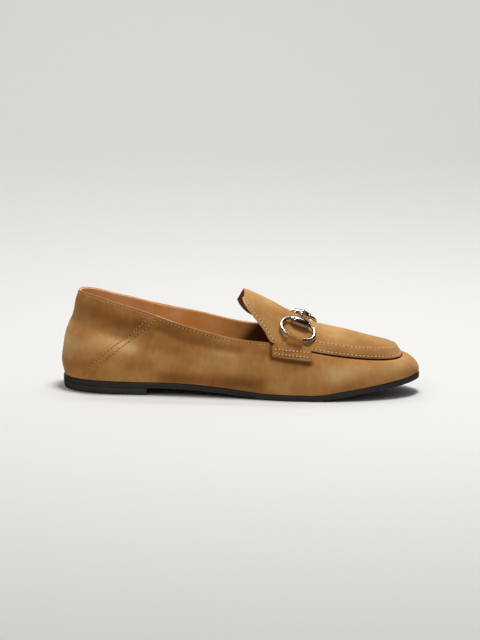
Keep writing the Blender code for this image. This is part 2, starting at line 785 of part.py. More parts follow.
def cutter_cone(name, start, end, radius_start, radius_end, collection):
    """Round bar from start to end as a primitive in the cutters' collection."""
    mesh = bpy.data.meshes.new(name)
    work = bmesh.new()
    length = float(np.linalg.norm(end - start))
    bmesh.ops.create_cone(
        work, cap_ends=True, segments=12,
        radius1=radius_start, radius2=radius_end, depth=length,
    )
    work.to_mesh(mesh)
    work.free()
    made = bpy.data.objects.new(name, mesh)
    made.matrix_world = Matrix.Translation(Vector(0.5 * (start + end))) @ (
        Vector((0.0, 0.0, 1.0)).rotation_difference(Vector(end - start)).to_matrix().to_4x4()
    )
    made.hide_render = True
    made.display_type = "WIRE"
    collection.objects.link(made)
    return made


def cutter_eye(name, centre, axis, collection):
    """Round eye of the arm's end: a small circle turned round its axis."""
    mesh = bpy.data.meshes.new(name)
    circle = []
    for k in range(8):
        angle = math.pi * (2 * k + 1) / 8.0
        circle.append((EYE_RADIUS + EYE_WIRE * math.cos(angle), 0.0, EYE_WIRE * math.sin(angle)))
    mesh.from_pydata(circle, [(k, (k + 1) % 8) for k in range(8)], [])
    made = bpy.data.objects.new(name, mesh)
    made.matrix_world = Matrix.Translation(Vector(centre)) @ (
        Vector((0.0, 0.0, 1.0)).rotation_difference(Vector(axis)).to_matrix().to_4x4()
    )
    turn = made.modifiers.new("turn", "SCREW")
    turn.axis = "Z"
    turn.steps = 20
    turn.render_steps = 20
    turn.use_merge_vertices = True
    turn.merge_threshold = 1e-5
    made.hide_render = True
    made.display_type = "WIRE"
    collection.objects.link(made)
    return made


def link_centre():
    """Point over the crest where the two eyes meet, and its normal."""
    at = (RING_STATION + 0.05, LINK_ETA)
    normal = plug_normal(*at)
    return apron_point(*at, APRON_INSET, APRON_LIFT) + normal * LINK_HEIGHT, normal


def build_arm(name, side, collection, cutters):
    """Sleeve on the ring's upper bar, a tapered arm and an eye at the crest."""
    centre, half, along, down, normal = ring_frame(side)
    bar = centre - down * half
    meeting, meeting_normal = link_centre()
    inwards = np.array([0.0, -side, 0.0])
    eye = meeting - inwards * (0.5 * EYE_SPACING)
    profile = [(-SLEEVE_HALF_LENGTH, SLEEVE_BORE)]
    profile += [(x * SLEEVE_HALF_LENGTH, r * SLEEVE_RADIUS) for x, r in SLEEVE]
    profile += [(SLEEVE_HALF_LENGTH, SLEEVE_BORE)]
    mesh = bpy.data.meshes.new(name)
    count = len(profile)
    mesh.from_pydata(
        [(x, r, 0.0) for x, r in profile], [(k, (k + 1) % count) for k in range(count)], [],
    )
    made = bpy.data.objects.new(name, mesh)
    made.matrix_world = frame_matrix(bar, along, np.cross(normal, along), normal)
    turn = made.modifiers.new("turn", "SCREW")
    turn.axis = "X"
    turn.steps = 16
    turn.render_steps = 16
    turn.use_merge_vertices = True
    turn.merge_threshold = 1e-5
    collection.objects.link(made)
    direction = unit(eye - bar)
    eye_axis = meeting_normal if side < 0 else unit(np.cross(direction, meeting_normal))
    shank = cutter_cone(
        name + "_shank", bar + direction * (0.5 * (SLEEVE_BORE + SLEEVE_RADIUS)),
        eye - direction * EYE_RADIUS, SHANK_RADIUS, SHANK_TIP, cutters,
    )
    ring_eye = cutter_eye(name + "_eye", eye, eye_axis, cutters)
    for piece in (shank, ring_eye):
        join = made.modifiers.new("join", "BOOLEAN")
        join.operation = "UNION"
        join.solver = "EXACT"
        join.object = piece
    return made


objects = list(bpy.data.objects)
for old in objects:
    bpy.data.objects.remove(old, do_unlink=True)

loafer = bpy.data.collections.new("bit_loafer")
bpy.context.scene.collection.children.link(loafer)

suede = make_material("suede", (0.42, 0.24, 0.09), 0.9)
plug_suede = make_material("plug_suede", (0.43, 0.25, 0.095), 0.9)
sole_rubber = make_material("sole_rubber", (0.016, 0.015, 0.014), 0.5)
heel_rubber = make_material("heel_rubber", (0.014, 0.013, 0.012), 0.5)
lining = make_material("lining", (0.52, 0.27, 0.12), 0.55)

upper = build_upper(loafer)
finish(upper, suede)
apron_object = build_apron(loafer)
finish(apron_object, plug_suede)
outsole, insole, heel = build_soles(loafer)
finish(outsole, sole_rubber)
finish(insole, lining)
finish(heel, heel_rubber)
bit_metal = make_material("bit_metal", (0.78, 0.76, 0.73), 0.15, 1.0)
cutters = bpy.data.collections.new("cutters")
bpy.context.scene.collection.children.link(cutters)
for side_name, side_sign in (("lateral", -1.0), ("medial", 1.0)):
    finish(build_saddle("saddle_" + side_name, side_sign, loafer), suede)
    ring = build_ring("bit_ring_" + side_name, side_sign, loafer)
    ring.data.materials.append(bit_metal)
    arm = build_arm("bit_arm_" + side_name, side_sign, loafer, cutters)
    arm.data.materials.append(bit_metal)
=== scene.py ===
"""Visual model of a camel suede bit loafer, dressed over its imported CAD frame.

Every piece is worked out from the shoe's own sizes: the sections of its last, the
crown of its plug and the frames of its bit. All sizes are metres. The shoe is a
right one: +X points to the toe, -Y to the outer (lateral) side, +Z up.
"""

import logging
import math
from dataclasses import dataclass, field
from enum import Enum, IntEnum

import bmesh
import bpy
import numpy as np
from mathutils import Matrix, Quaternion, Vector

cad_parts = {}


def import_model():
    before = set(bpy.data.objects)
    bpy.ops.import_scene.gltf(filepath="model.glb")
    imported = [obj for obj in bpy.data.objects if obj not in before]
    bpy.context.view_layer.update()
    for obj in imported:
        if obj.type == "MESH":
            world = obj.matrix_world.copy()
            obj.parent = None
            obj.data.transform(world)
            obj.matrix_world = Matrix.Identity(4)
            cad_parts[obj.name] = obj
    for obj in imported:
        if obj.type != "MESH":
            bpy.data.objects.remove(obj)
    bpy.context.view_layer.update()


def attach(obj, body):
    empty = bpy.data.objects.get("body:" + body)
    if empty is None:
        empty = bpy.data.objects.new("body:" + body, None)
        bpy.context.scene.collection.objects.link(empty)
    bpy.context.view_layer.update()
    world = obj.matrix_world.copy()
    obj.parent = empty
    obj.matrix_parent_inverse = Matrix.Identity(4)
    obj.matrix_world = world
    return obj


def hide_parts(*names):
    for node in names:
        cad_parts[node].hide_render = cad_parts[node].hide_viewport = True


Array = np.ndarray
Rows = tuple[tuple[float, ...], ...]
LOG = logging.getLogger("loafer")
MM = 0.001


class Side(IntEnum):
    """The two sides of the shoe, as the sign of Y."""

    LATERAL = -1
    MEDIAL = 1


class Slot(Enum):
    """Material slots named in the part's record."""

    SUEDE = "suede"
    PLUG = "plug_suede"
    SOLE = "sole_rubber"
    HEEL = "heel_rubber"
    LINING = "lining"
    METAL = "bit_metal"


class Spline:
    """Smooth cubic through rows of numbers, periodic when closed."""

    def __init__(self, knots: Array, rows: Rows | Array, closed: bool = False) -> None:
        """Solve for the bends at the knots.

        Args:
            knots: Increasing parameter of each row.
            rows: One row of numbers per knot.
            closed: Whether the last row is the first one again.
        """
        knots = np.asarray(knots, float)
        rows = np.asarray(rows, float)
        if closed:
            period = knots[-1] - knots[0]
            knots = np.concatenate([knots[-5:-1] - period, knots, knots[1:5] + period])
            rows = np.concatenate([rows[-5:-1], rows, rows[1:5]])
        step = np.diff(knots)
        count = len(knots)
        system = np.eye(count)
        right = np.zeros_like(rows)
        for i in range(1, count - 1):
            system[i, i - 1:i + 2] = step[i - 1], 2.0 * (step[i - 1] + step[i]), step[i]
            ahead = (rows[i + 1] - rows[i]) / step[i]
            right[i] = 6.0 * (ahead - (rows[i] - rows[i - 1]) / step[i - 1])
        self.knots, self.rows, self.step = knots, rows, step
        self.bend = np.linalg.solve(system, right)

    def __call__(self, t: Array) -> Array:
        """Rows at the parameters t."""
        t = np.atleast_1d(np.asarray(t, float))
        i = np.clip(np.searchsorted(self.knots, t) - 1, 0, len(self.step) - 1)
        h = self.step[i]
        a = ((self.knots[i + 1] - t) / h)[:, None]
        b = ((t - self.knots[i]) / h)[:, None]
        bend = (a ** 3 - a) * self.bend[i] + (b ** 3 - b) * self.bend[i + 1]
        return a * self.rows[i] + b * self.rows[i + 1] + bend * (h[:, None] ** 2) / 6.0


class Monotone:
    """Smooth function through (x, y) rows that keeps flats flat."""

    def __init__(self, table: Rows) -> None:
        """Work out the slopes at the rows of the table."""
        self.x, self.y = np.array(table, float).T
        self.step = np.diff(self.x)
        slope = np.diff(self.y) / self.step
        self.slope = np.zeros(len(self.x))
        for i in range(1, len(self.x) - 1):
            if slope[i - 1] * slope[i] > 0.0:
                self.slope[i] = 2.0 / (1.0 / slope[i - 1] + 1.0 / slope[i])
        self.slope[-1] = slope[-1]

    def __call__(self, x: Array) -> Array:
        """Values at x."""
        x = np.atleast_1d(np.asarray(x, float))
        i = np.clip(np.searchsorted(self.x, x) - 1, 0, len(self.step) - 1)
        t = np.clip((x - self.x[i]) / self.step[i], 0.0, 1.0)
        low = (1.0 + 2.0 * t) * (1.0 - t) ** 2 * self.y[i]
        high = t * t * (3.0 - 2.0 * t) * self.y[i + 1]
        bend = t * (1.0 - t) * ((1.0 - t) * self.slope[i] - t * self.slope[i + 1])
        return low + high + bend * self.step[i]


def unit(vectors: Array) -> Array:
    """Vectors scaled to length one, along the last axis."""
    length = np.linalg.norm(vectors, axis=-1, keepdims=True)
    return vectors / np.maximum(length, 1e-12)


def smooth_step(x: Array) -> Array:
    """Soft step from 0 at x = 0 to 1 at x = 1."""
    x = np.clip(x, 0.0, 1.0)
    return x * x * (3.0 - 2.0 * x)


def bump(x: Array) -> Array:
    """Bell of height 1 round x = 0."""
    return np.exp(-x * x)


def resample(points: Array, pitch: float, *others: Array) -> tuple[Array, ...]:
    """Points of a polyline at an even pitch.

    Args:
        points: Polyline, one row per point.
        pitch: Distance wanted between the new points.
        *others: Arrays that go along with the points, such as normals.

    Returns:
        The new points, then the other arrays at the same places.
    """
    run = np.concatenate([[0.0], np.cumsum(np.linalg.norm(np.diff(points, axis=0), axis=1))])
    count = max(int(round(run[-1] / pitch)), 1)
    at = np.linspace(0.0, run[-1], count + 1)
    made = []
    for rows in (points, *others):
        made.append(np.stack([np.interp(at, run, rows[:, k]) for k in range(3)], axis=1))
    return tuple(made)


def distance_to(points: Array, path: Array) -> tuple[Array, Array]:
    """Distance of points to a polyline, and how far along it the nearest place is.

    Args:
        points: Points, one row each.
        path: Polyline in the same number of dimensions.

    Returns:
        Distances, and the run along the path of the nearest places.
    """
    best = np.full(len(points), np.inf)
    place = np.zeros(len(points))
    run = 0.0
    for start, end in zip(path[:-1], path[1:]):
        side = end - start
        length = float(np.linalg.norm(side))
        share = np.clip((points - start) @ side / max(length ** 2, 1e-18), 0.0, 1.0)
        away = np.linalg.norm(points - start - share[:, None] * side, axis=1)
        closer = away < best
        best = np.where(closer, away, best)
        place = np.where(closer, run + share * length, place)
        run += length
    return best, place


@dataclass(frozen=True)
class ShoeSizes:
    """Driving sizes of the shoe, the same as the part's."""

    length: float = 0.256
    ball_width: float = 0.080
    back_height: float = 0.070
    heel_setback: float = 0.031
    heel_lift: float = 0.0050
    heel_breast: float = 0.0316
    sole: float = 0.0040
    wall: float = 0.0020
    gap: float = 0.0003
    throat: int = 10
    tip: int = 19
    seam_feather: float = -0.017
    seam_top: float = 0.033
    slit: float = 0.1200


SIZES = ShoeSizes()

# Sections of the last: feather x, half width; top x, half width, z; belly, roll, drop.
# x in shares of the length, widths, belly and roll of the ball width, z of the back height.
BACK = (0.009, 0.000, 0.046, 0.000, 1.000, 0.055, 0.087, 0.32)
LATERAL = (
    (0.019, 0.138, 0.055, 0.106, 1.000, 0.055, 0.081, 0.32),
    (0.045, 0.250, 0.086, 0.185, 0.983, 0.055, 0.075, 0.32),
    (0.090, 0.329, 0.129, 0.227, 0.943, 0.050, 0.062, 0.32),
    (0.152, 0.366, 0.188, 0.270, 0.886, 0.040, 0.050, 0.34),
    (0.238, 0.372, 0.258, 0.307, 0.817, 0.033, 0.037, 0.36),
    (0.324, 0.365, 0.332, 0.350, 0.733, 0.033, 0.030, 0.36),
    (0.402, 0.378, 0.402, 0.383, 0.671, 0.037, 0.030, 0.36),
    (0.480, 0.412, 0.473, 0.405, 0.620, 0.040, 0.033, 0.36),
    (0.551, 0.453, 0.535, 0.415, 0.594, 0.040, 0.045, 0.34),
    (0.617, 0.484, 0.594, 0.417, 0.571, 0.037, 0.057, 0.28),
    (0.680, 0.495, 0.648, 0.409, 0.529, 0.035, 0.068, 0.20),
    (0.738, 0.486, 0.699, 0.394, 0.490, 0.035, 0.075, 0.14),
    (0.793, 0.455, 0.746, 0.375, 0.457, 0.035, 0.079, 0.10),
    (0.844, 0.408, 0.793, 0.350, 0.431, 0.035, 0.080, 0.06),
    (0.891, 0.345, 0.840, 0.318, 0.411, 0.035, 0.077, 0.04),
    (0.930, 0.273, 0.883, 0.273, 0.397, 0.035, 0.075, 0.02),
    (0.962, 0.190, 0.920, 0.204, 0.390, 0.035, 0.072, 0.00),
    (0.984, 0.091, 0.944, 0.100, 0.393, 0.034, 0.072, 0.00),
)
MEDIAL = (
    (0.019, 0.138, 0.055, 0.106, 0.999, 0.055, 0.081, 0.32),
    (0.045, 0.250, 0.086, 0.180, 0.980, 0.055, 0.075, 0.32),
    (0.090, 0.329, 0.129, 0.220, 0.937, 0.050, 0.062, 0.32),
    (0.152, 0.350, 0.188, 0.258, 0.883, 0.040, 0.050, 0.34),
    (0.238, 0.320, 0.258, 0.287, 0.817, 0.033, 0.037, 0.36),
    (0.324, 0.295, 0.332, 0.312, 0.764, 0.035, 0.033, 0.36),
    (0.402, 0.299, 0.402, 0.330, 0.714, 0.042, 0.033, 0.36),
    (0.480, 0.334, 0.473, 0.348, 0.651, 0.042, 0.035, 0.36),
    (0.555, 0.385, 0.539, 0.366, 0.614, 0.040, 0.045, 0.34),
    (0.621, 0.432, 0.598, 0.379, 0.583, 0.037, 0.057, 0.28),
    (0.684, 0.463, 0.652, 0.385, 0.537, 0.035, 0.068, 0.20),
    (0.742, 0.465, 0.703, 0.383, 0.497, 0.035, 0.075, 0.14),
    (0.797, 0.447, 0.754, 0.375, 0.461, 0.035, 0.079, 0.10),
    (0.848, 0.416, 0.801, 0.360, 0.436, 0.035, 0.080, 0.06),
    (0.895, 0.375, 0.848, 0.338, 0.414, 0.035, 0.077, 0.04),
    (0.938, 0.323, 0.891, 0.300, 0.400, 0.035, 0.075, 0.02),
    (0.971, 0.253, 0.926, 0.244, 0.394, 0.035, 0.072, 0.00),
    (0.990, 0.156, 0.946, 0.156, 0.397, 0.034, 0.072, 0.00),
)
TIP = (0.997, 0.037, 0.952, 0.037, 0.400, 0.033, 0.077, 0.00)

# Tongue behind the throat: lateral x, half width, z; medial x, half width, z; crest x, z;
# power of the crown on the lateral and on the medial side.
TONGUE = (
    (0.509, 0.206, 0.985, 0.4895, 0.222, 0.892, 0.506, 1.030, 1.30, 1.20),
    (0.514, 0.260, 0.940, 0.496, 0.262, 0.829, 0.521, 1.014, 1.25, 1.22),
    (0.531, 0.304, 0.860, 0.512, 0.300, 0.752, 0.545, 0.978, 1.20, 1.22),
    (0.554, 0.348, 0.760, 0.538, 0.334, 0.690, 0.570, 0.935, 1.10, 1.20),
    (0.576, 0.390, 0.651, 0.570, 0.361, 0.637, 0.592, 0.895, 1.05, 1.18),
)
# Crown of the plug from the throat to the station before the tip: x, z and the two powers.
CREST = (
    (0.611, 0.855, 1.00, 1.15),
    (0.662, 0.755, 0.93, 1.05),
    (0.711, 0.686, 0.82, 0.93),
    (0.757, 0.650, 0.72, 0.80),
    (0.802, 0.614, 0.66, 0.70),
    (0.848, 0.570, 0.60, 0.62),
    (0.889, 0.537, 0.55, 0.57),
    (0.924, 0.502, 0.50, 0.50),
    (0.945, 0.452, 0.50, 0.50),
)
TIP_CREST = (0.952, 0.402, 0.50)

# Height of the sole's underside: x in shares of the length, z of the heel's lift.
RISE = (
    (0.000, 1.00),
    (0.258, 1.00),
    (0.336, 0.92),
    (0.414, 0.70),
    (0.492, 0.38),
    (0.543, 0.14),
    (0.574, 0.00),
    (0.699, 0.00),
    (0.738, 0.16),
    (0.785, 0.54),
    (0.840, 0.98),
    (0.902, 1.44),
    (0.949, 1.82),
    (1.004, 2.26),
)


def place_x(share: Array | float) -> Array | float:
    """X of a share of the length."""
    return share * SIZES.length - SIZES.heel_setback


def section(row: tuple[float, ...], side: float) -> tuple[float, ...]:
    """Table row in metres: feather x y, top x y z, belly, roll, drop."""
    fx, fy, sx, sy, sz, belly, roll, drop = row
    wide = SIZES.ball_width
    feather = (place_x(fx), side * fy * wide)
    top = (place_x(sx), side * sy * wide, sz * SIZES.back_height)
    return (*feather, *top, belly * wide, roll * wide, drop)


class Last:
    """The form the upper is drawn over: a closed run of sections round the foot."""

    def __init__(self) -> None:
        """Lay the smooth closed curve through the sections."""
        rows = [section(BACK, 1.0)]
        rows += [section(row, -1.0) for row in LATERAL]
        rows += [section(TIP, 1.0)]
        rows += [section(row, 1.0) for row in reversed(MEDIAL)]
        rows = np.array([*rows, rows[0]])
        chords = np.linalg.norm(np.diff(rows[:, :2], axis=0), axis=1)
        chords += np.linalg.norm(np.diff(rows[:, 2:4], axis=0), axis=1)
        knots = np.concatenate([[0.0], np.cumsum(chords)])
        knots /= knots[-1]
        self.curve = Spline(knots, rows, closed=True)
        tip = SIZES.tip
        self.stations = {Side.LATERAL: knots[:tip + 1], Side.MEDIAL: knots[tip:][::-1]}
        self.rise_share = Monotone(RISE)

    def rise(self, x: Array) -> Array:
        """Height of the sole's underside at x."""
        return self.rise_share((x + SIZES.heel_setback) / SIZES.length) * SIZES.heel_lift

    def t(self, station: Array, side: Side) -> Array:
        """Parameter on the closed curve of stations on one side."""
        return np.interp(station, np.arange(SIZES.tip + 1), self.stations[side])

    def t_at(self, x: float, side: Side, top: bool) -> float:
        """Parameter where the rear half's feather or top line has this x."""
        samples = self.t(np.linspace(0.0, SIZES.throat + 1.0, 440), side)
        values = self.curve(samples % 1.0)[:, 2 if top else 0]
        return float(np.interp(x, values, samples))

    def outward(self, t: Array, top: bool = False) -> Array:
        """Level outward direction of the feather or of the top line."""
        k = 2 if top else 0
        step = self.curve((t + 0.002) % 1.0) - self.curve((t - 0.002) % 1.0)
        return unit(np.stack([step[:, k + 1], -step[:, k], np.zeros(len(step))], axis=1))

    def wall(self, t: Array, v: Array) -> Array:
        """Points of the upper's outer wall.

        Args:
            t: Parameters round the shoe.
            v: Shares of the way up from the feather (0) to the top line (1).

        Returns:
            One point for each pair.
        """
        t, v = np.broadcast_arrays(np.atleast_1d(t) % 1.0, v)
        fx, fy, sx, sy, sz, belly, roll, drop = self.curve(t).T
        low = np.stack([fx, fy, self.rise(fx) + SIZES.sole + SIZES.gap], axis=1)
        high = np.stack([sx, sy, sz], axis=1)
        up = np.zeros_like(low)
        up[:, 2] = high[:, 2] - low[:, 2]
        first = low + self.outward(t) * belly[:, None] + 0.35 * up
        second = high + self.outward(t, top=True) * roll[:, None] - drop[:, None] * up
        v = np.asarray(v, float)[:, None]
        u = 1.0 - v
        return u ** 3 * low + 3 * u * u * v * first + 3 * u * v * v * second + v ** 3 * high

    def wall_normal(self, t: Array, v: Array) -> Array:
        """Outward normals of the wall."""
        v = np.clip(v, 0.02, 0.98)
        along = self.wall(t + 0.002, v) - self.wall(t - 0.002, v)
        return unit(np.cross(along, self.wall(t, v + 0.02) - self.wall(t, v - 0.02)))


class Plug:
    """Surface of the raised plug and its tongue."""

    start: float = float(SIZES.throat - len(TONGUE))

    def __init__(self) -> None:
        """Lay the plug's two edges and its crest over the last's sections."""
        wide, tall = SIZES.ball_width, SIZES.back_height
        rows = []
        for lx, ly, lz, mx, my, mz, cx, cz, *powers in TONGUE:
            lateral = (place_x(lx), -ly * wide, lz * tall)
            medial = (place_x(mx), my * wide, mz * tall)
            rows.append((*lateral, *medial, place_x(cx), cz * tall, *powers))
        for k, (cx, cz, *powers) in enumerate(CREST, start=SIZES.throat - 1):
            lateral = section(LATERAL[k], -1.0)[2:5]
            medial = section(MEDIAL[k], 1.0)[2:5]
            rows.append((*lateral, *medial, place_x(cx), cz * tall, *powers))
        tip = section(TIP, 1.0)[2:5]
        crest_x, crest_z, power = TIP_CREST
        rows.append((*tip, *tip, place_x(crest_x), crest_z * tall, power, power))
        self.curve = Spline(np.arange(len(rows)) + self.start, rows)

    def edge(self, station: Array, side: Side) -> tuple[Array, Array]:
        """Edge points on one side and the level directions inwards."""
        k = 0 if side < 0 else 3
        ahead = self.curve(np.minimum(station + 0.02, SIZES.tip))
        step = ahead - self.curve(station - 0.02)
        normal = np.stack([-step[:, k + 1], step[:, k], np.zeros(len(step))], axis=1)
        normal = unit(normal * -float(side))
        blend = np.clip((station - SIZES.throat) / 4.0, 0.0, 1.0)[:, None]
        square = np.array([0.0, -float(side), 0.0])
        return self.curve(station)[:, k:k + 3], unit(blend * normal + (1.0 - blend) * square)

    def point(self, station: Array, eta: Array, depth: float = 0.0, lift: float = 0.0) -> Array:
        """Points of the plug's surface.

        Args:
            station: Station along the shoe.
            eta: Place across it, -1 at the lateral edge and 1 at the medial edge.
            depth: How far under the surface.
            lift: Height added.

        Returns:
            One point for each pair.
        """
        station, eta = np.broadcast_arrays(np.atleast_1d(np.asarray(station, float)), eta)
        low, low_in = self.edge(station, Side.LATERAL)
        high, high_in = self.edge(station, Side.MEDIAL)
        low = low + low_in * depth
        high = high + high_in * depth
        crest_x, crest_z, lateral, medial = self.curve(station)[:, 6:10].T
        power = np.where(eta < 0.0, lateral, medial)
        crest_x = crest_x + 0.5 * (low_in[:, 0] + high_in[:, 0]) * depth
        middle = 0.5 * (low + high)
        crown = np.maximum(1.0 - eta * eta, 0.0) ** power
        made = low + (high - low) * (0.5 * (1.0 + eta))[:, None]
        made[:, 0] += (crest_x - middle[:, 0]) * crown
        made[:, 2] += np.maximum(crest_z - depth - middle[:, 2], 0.0) * crown + lift
        return made

    def normal(self, station: float, eta: float) -> Array:
        """Outward normal at one place."""
        along = self.point(station + 0.03, eta) - self.point(station - 0.03, eta)
        across = self.point(station, eta + 0.02) - self.point(station, eta - 0.02)
        return unit(np.cross(along, across))[0]


LAST = Last()
PLUG = Plug()


def grid_faces(rows: int, columns: int, ring: bool = False) -> Array:
    """Quads of a grid stored row by row, first edge along the columns.

    Args:
        rows: Number of rows of points.
        columns: Number of points in a row.
        ring: Whether the last row joins the first.

    Returns:
        One row of four indices per face.
    """
    j = np.arange(rows if ring else rows - 1)[:, None]
    i = np.arange(columns - 1)[None, :]
    here = j * columns + i
    there = ((j + 1) % rows) * columns + i
    return np.stack([here, there, there + 1, here + 1], axis=-1).reshape(-1, 4)


def mesh_object(
    name: str,
    points: Array,
    faces: list | Array,
    materials: list[bpy.types.Material],
    slots: Array | None = None,
    crisp: float = 40.0,
) -> bpy.types.Object:
    """Make a smooth-shaded mesh object.

    Args:
        name: Object name.
        points: Vertices.
        faces: Faces as lists of indices.
        materials: Its material slots, in order.
        slots: Material index of each face, or None for the first.
        crisp: Edges sharper than this many degrees stay sharp.

    Returns:
        The new object, linked to the scene.
    """
    mesh = bpy.data.meshes.new(name)
    mesh.from_pydata(points.reshape(-1, 3).tolist(), [], [list(map(int, f)) for f in faces])
    for material in materials:
        mesh.materials.append(material)
    if slots is not None:
        mesh.polygons.foreach_set("material_index", np.asarray(slots, np.int32))
    work = bmesh.new()
    work.from_mesh(mesh)
    bmesh.ops.remove_doubles(work, verts=work.verts, dist=2e-6)
    bmesh.ops.dissolve_degenerate(work, edges=work.edges, dist=1e-6)
    work.to_mesh(mesh)
    work.free()
    mesh.shade_smooth()
    mesh.set_sharp_from_angle(angle=math.radians(crisp))
    made = bpy.data.objects.new(name, mesh)
    bpy.context.scene.collection.objects.link(made)
    return made


def thicken(
    target: bpy.types.Object,
    thickness: float,
    offset: float = -1.0,
    inside: int = 0,
    rim: int = 0,
    soften: float = 0.0,
) -> None:
    """Give a sheet its thickness and softened cut edges.

    Args:
        target: The sheet's object.
        thickness: Full thickness.
        offset: -1 grows it inwards, 0 both ways.
        inside: Material slots to step for the inner face.
        rim: Material slots to step for the cut edge.
        soften: Width of the rounding of the cut edge.
    """
    solid = target.modifiers.new("thickness", "SOLIDIFY")
    solid.thickness = thickness
    solid.offset = offset
    solid.material_offset = inside
    solid.material_offset_rim = rim
    if soften > 0.0:
        bevel = target.modifiers.new("soft_edge", "BEVEL")
        bevel.width = soften
        bevel.segments = 2
        bevel.limit_method = "ANGLE"
        bevel.angle_limit = math.radians(50.0)


def ring_frames(path: Array, closed: bool, first: Array) -> tuple[Array, Array]:
    """Two side directions along a path that don't twist.

    Args:
        path: Points of the path.
        closed: Whether it closes on itself.
        first: A direction near the first side direction.

    Returns:
        The two unit side directions at each point.
    """
    if closed:
        tangent = unit(np.roll(path, -1, axis=0) - np.roll(path, 1, axis=0))
    else:
        tangent = unit(np.gradient(path, axis=0))
    one = np.zeros_like(path)
    side = first
    for k, along in enumerate(tangent):
        side = unit(side - along * float(np.dot(side, along)))
        one[k] = side
    return one, np.cross(tangent, one)


def tube(
    path: Array, radius: Array | float, first: Array, sides: int, closed: bool
) -> tuple[Array, list]:
    """Points and faces of a round tube along a path.

    Args:
        path: Points of the centre line.
        radius: Radius, one number or one per point.
        first: A direction off the path at its start.
        sides: Number of sides.
        closed: Whether the path closes on itself.

    Returns:
        Vertices and faces.
    """
    one, two = ring_frames(path, closed, first)
    angle = np.linspace(0.0, math.tau, sides, endpoint=False)
    reach = np.broadcast_to(radius, len(path))[:, None, None]
    turn = one[:, None] * np.cos(angle)[None, :, None] + two[:, None] * np.sin(angle)[None, :, None]
    points = (path[:, None] + reach * turn).reshape(-1, 3)
    faces = []
    rows = len(path)
    for j in range(rows if closed else rows - 1):
        k = (j + 1) % rows
        for i in range(sides):
            n = (i + 1) % sides
            faces.append((j * sides + i, j * sides + n, k * sides + n, k * sides + i))
    if not closed:
        faces.append(tuple(range(sides))[::-1])
        faces.append(tuple((rows - 1) * sides + i for i in range(sides)))
    return points, faces


def dress(
    target: bpy.types.Object, nodes: tuple[str, ...] = (), body: str = "root"
) -> None:
    """Put a piece on its body and the CAD nodes it stands for."""
    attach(target, body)
    if nodes:
        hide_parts(*nodes)
    LOG.info("%s: %d vertices on %s", target.name, len(target.data.vertices), body)


def linear(code: str) -> tuple[float, float, float, float]:
    """Linear colour of an sRGB hex code such as "#B28450"."""
    made = []
    for k in (1, 3, 5):
        value = int(code[k:k + 2], 16) / 255.0
        made.append(value / 12.92 if value <= 0.04045 else ((value + 0.055) / 1.055) ** 2.4)
    return (*made, 1.0)


def add_node(
    tree: bpy.types.NodeTree,
    kind: str,
    settings: dict | None = None,
    sockets: dict | None = None,
    links: dict | None = None,
) -> bpy.types.Node:
    """Add a node with its settings, socket values and incoming links.

    Args:
        tree: Node tree to add to.
        kind: Node type.
        settings: Properties of the node.
        sockets: Values of its inputs, by name or number.
        links: Output sockets that feed its inputs, by name or number.

    Returns:
        The new node.
    """
    node = tree.nodes.new(kind)
    for key, value in (settings or {}).items():
        setattr(node, key, value)
    for key, value in (sockets or {}).items():
        node.inputs[key].default_value = value
    for key, output in (links or {}).items():
        tree.links.new(output, node.inputs[key])
    return node


def new_material(name: str) -> tuple[bpy.types.Material, bpy.types.NodeTree, bpy.types.Node]:
    """Empty material with its tree and a Principled shader on its output."""
    material = bpy.data.materials.new(name)
    material.use_nodes = True
    tree = material.node_tree
    tree.nodes.clear()
    shader = add_node(tree, "ShaderNodeBsdfPrincipled")
    add_node(tree, "ShaderNodeOutputMaterial", links={"Surface": shader.outputs["BSDF"]})
    return material, tree, shader


def ramp(
    tree: bpy.types.NodeTree, factor: bpy.types.NodeSocket, stops: tuple
) -> bpy.types.NodeSocket:
    """Colour ramp of (place, hex code) stops fed by a factor."""
    node = add_node(tree, "ShaderNodeValToRGB", links={"Fac": factor})
    band = node.color_ramp
    while len(band.elements) < len(stops):
        band.elements.new(0.5)
    for element, (place, code) in zip(band.elements, stops):
        element.position = place
        element.color = linear(code)
    return node.outputs["Color"]


def noise(
    tree: bpy.types.NodeTree, size: float, detail: float = 3.0, stretch: tuple = (1.0, 1.0, 1.0)
) -> bpy.types.NodeSocket:
    """Noise factor whose blotches are about the given size in metres."""
    place = add_node(tree, "ShaderNodeTexCoord").outputs["Object"]
    scale = tuple(1.0 / (size * s) for s in stretch)
    mapped = add_node(tree, "ShaderNodeMapping", sockets={"Scale": scale}, links={"Vector": place})
    sockets = {"Scale": 1.0, "Detail": detail, "Roughness": 0.6}
    made = add_node(
        tree, "ShaderNodeTexNoise", sockets=sockets, links={"Vector": mapped.outputs[0]}
    )
    return made.outputs["Fac"]


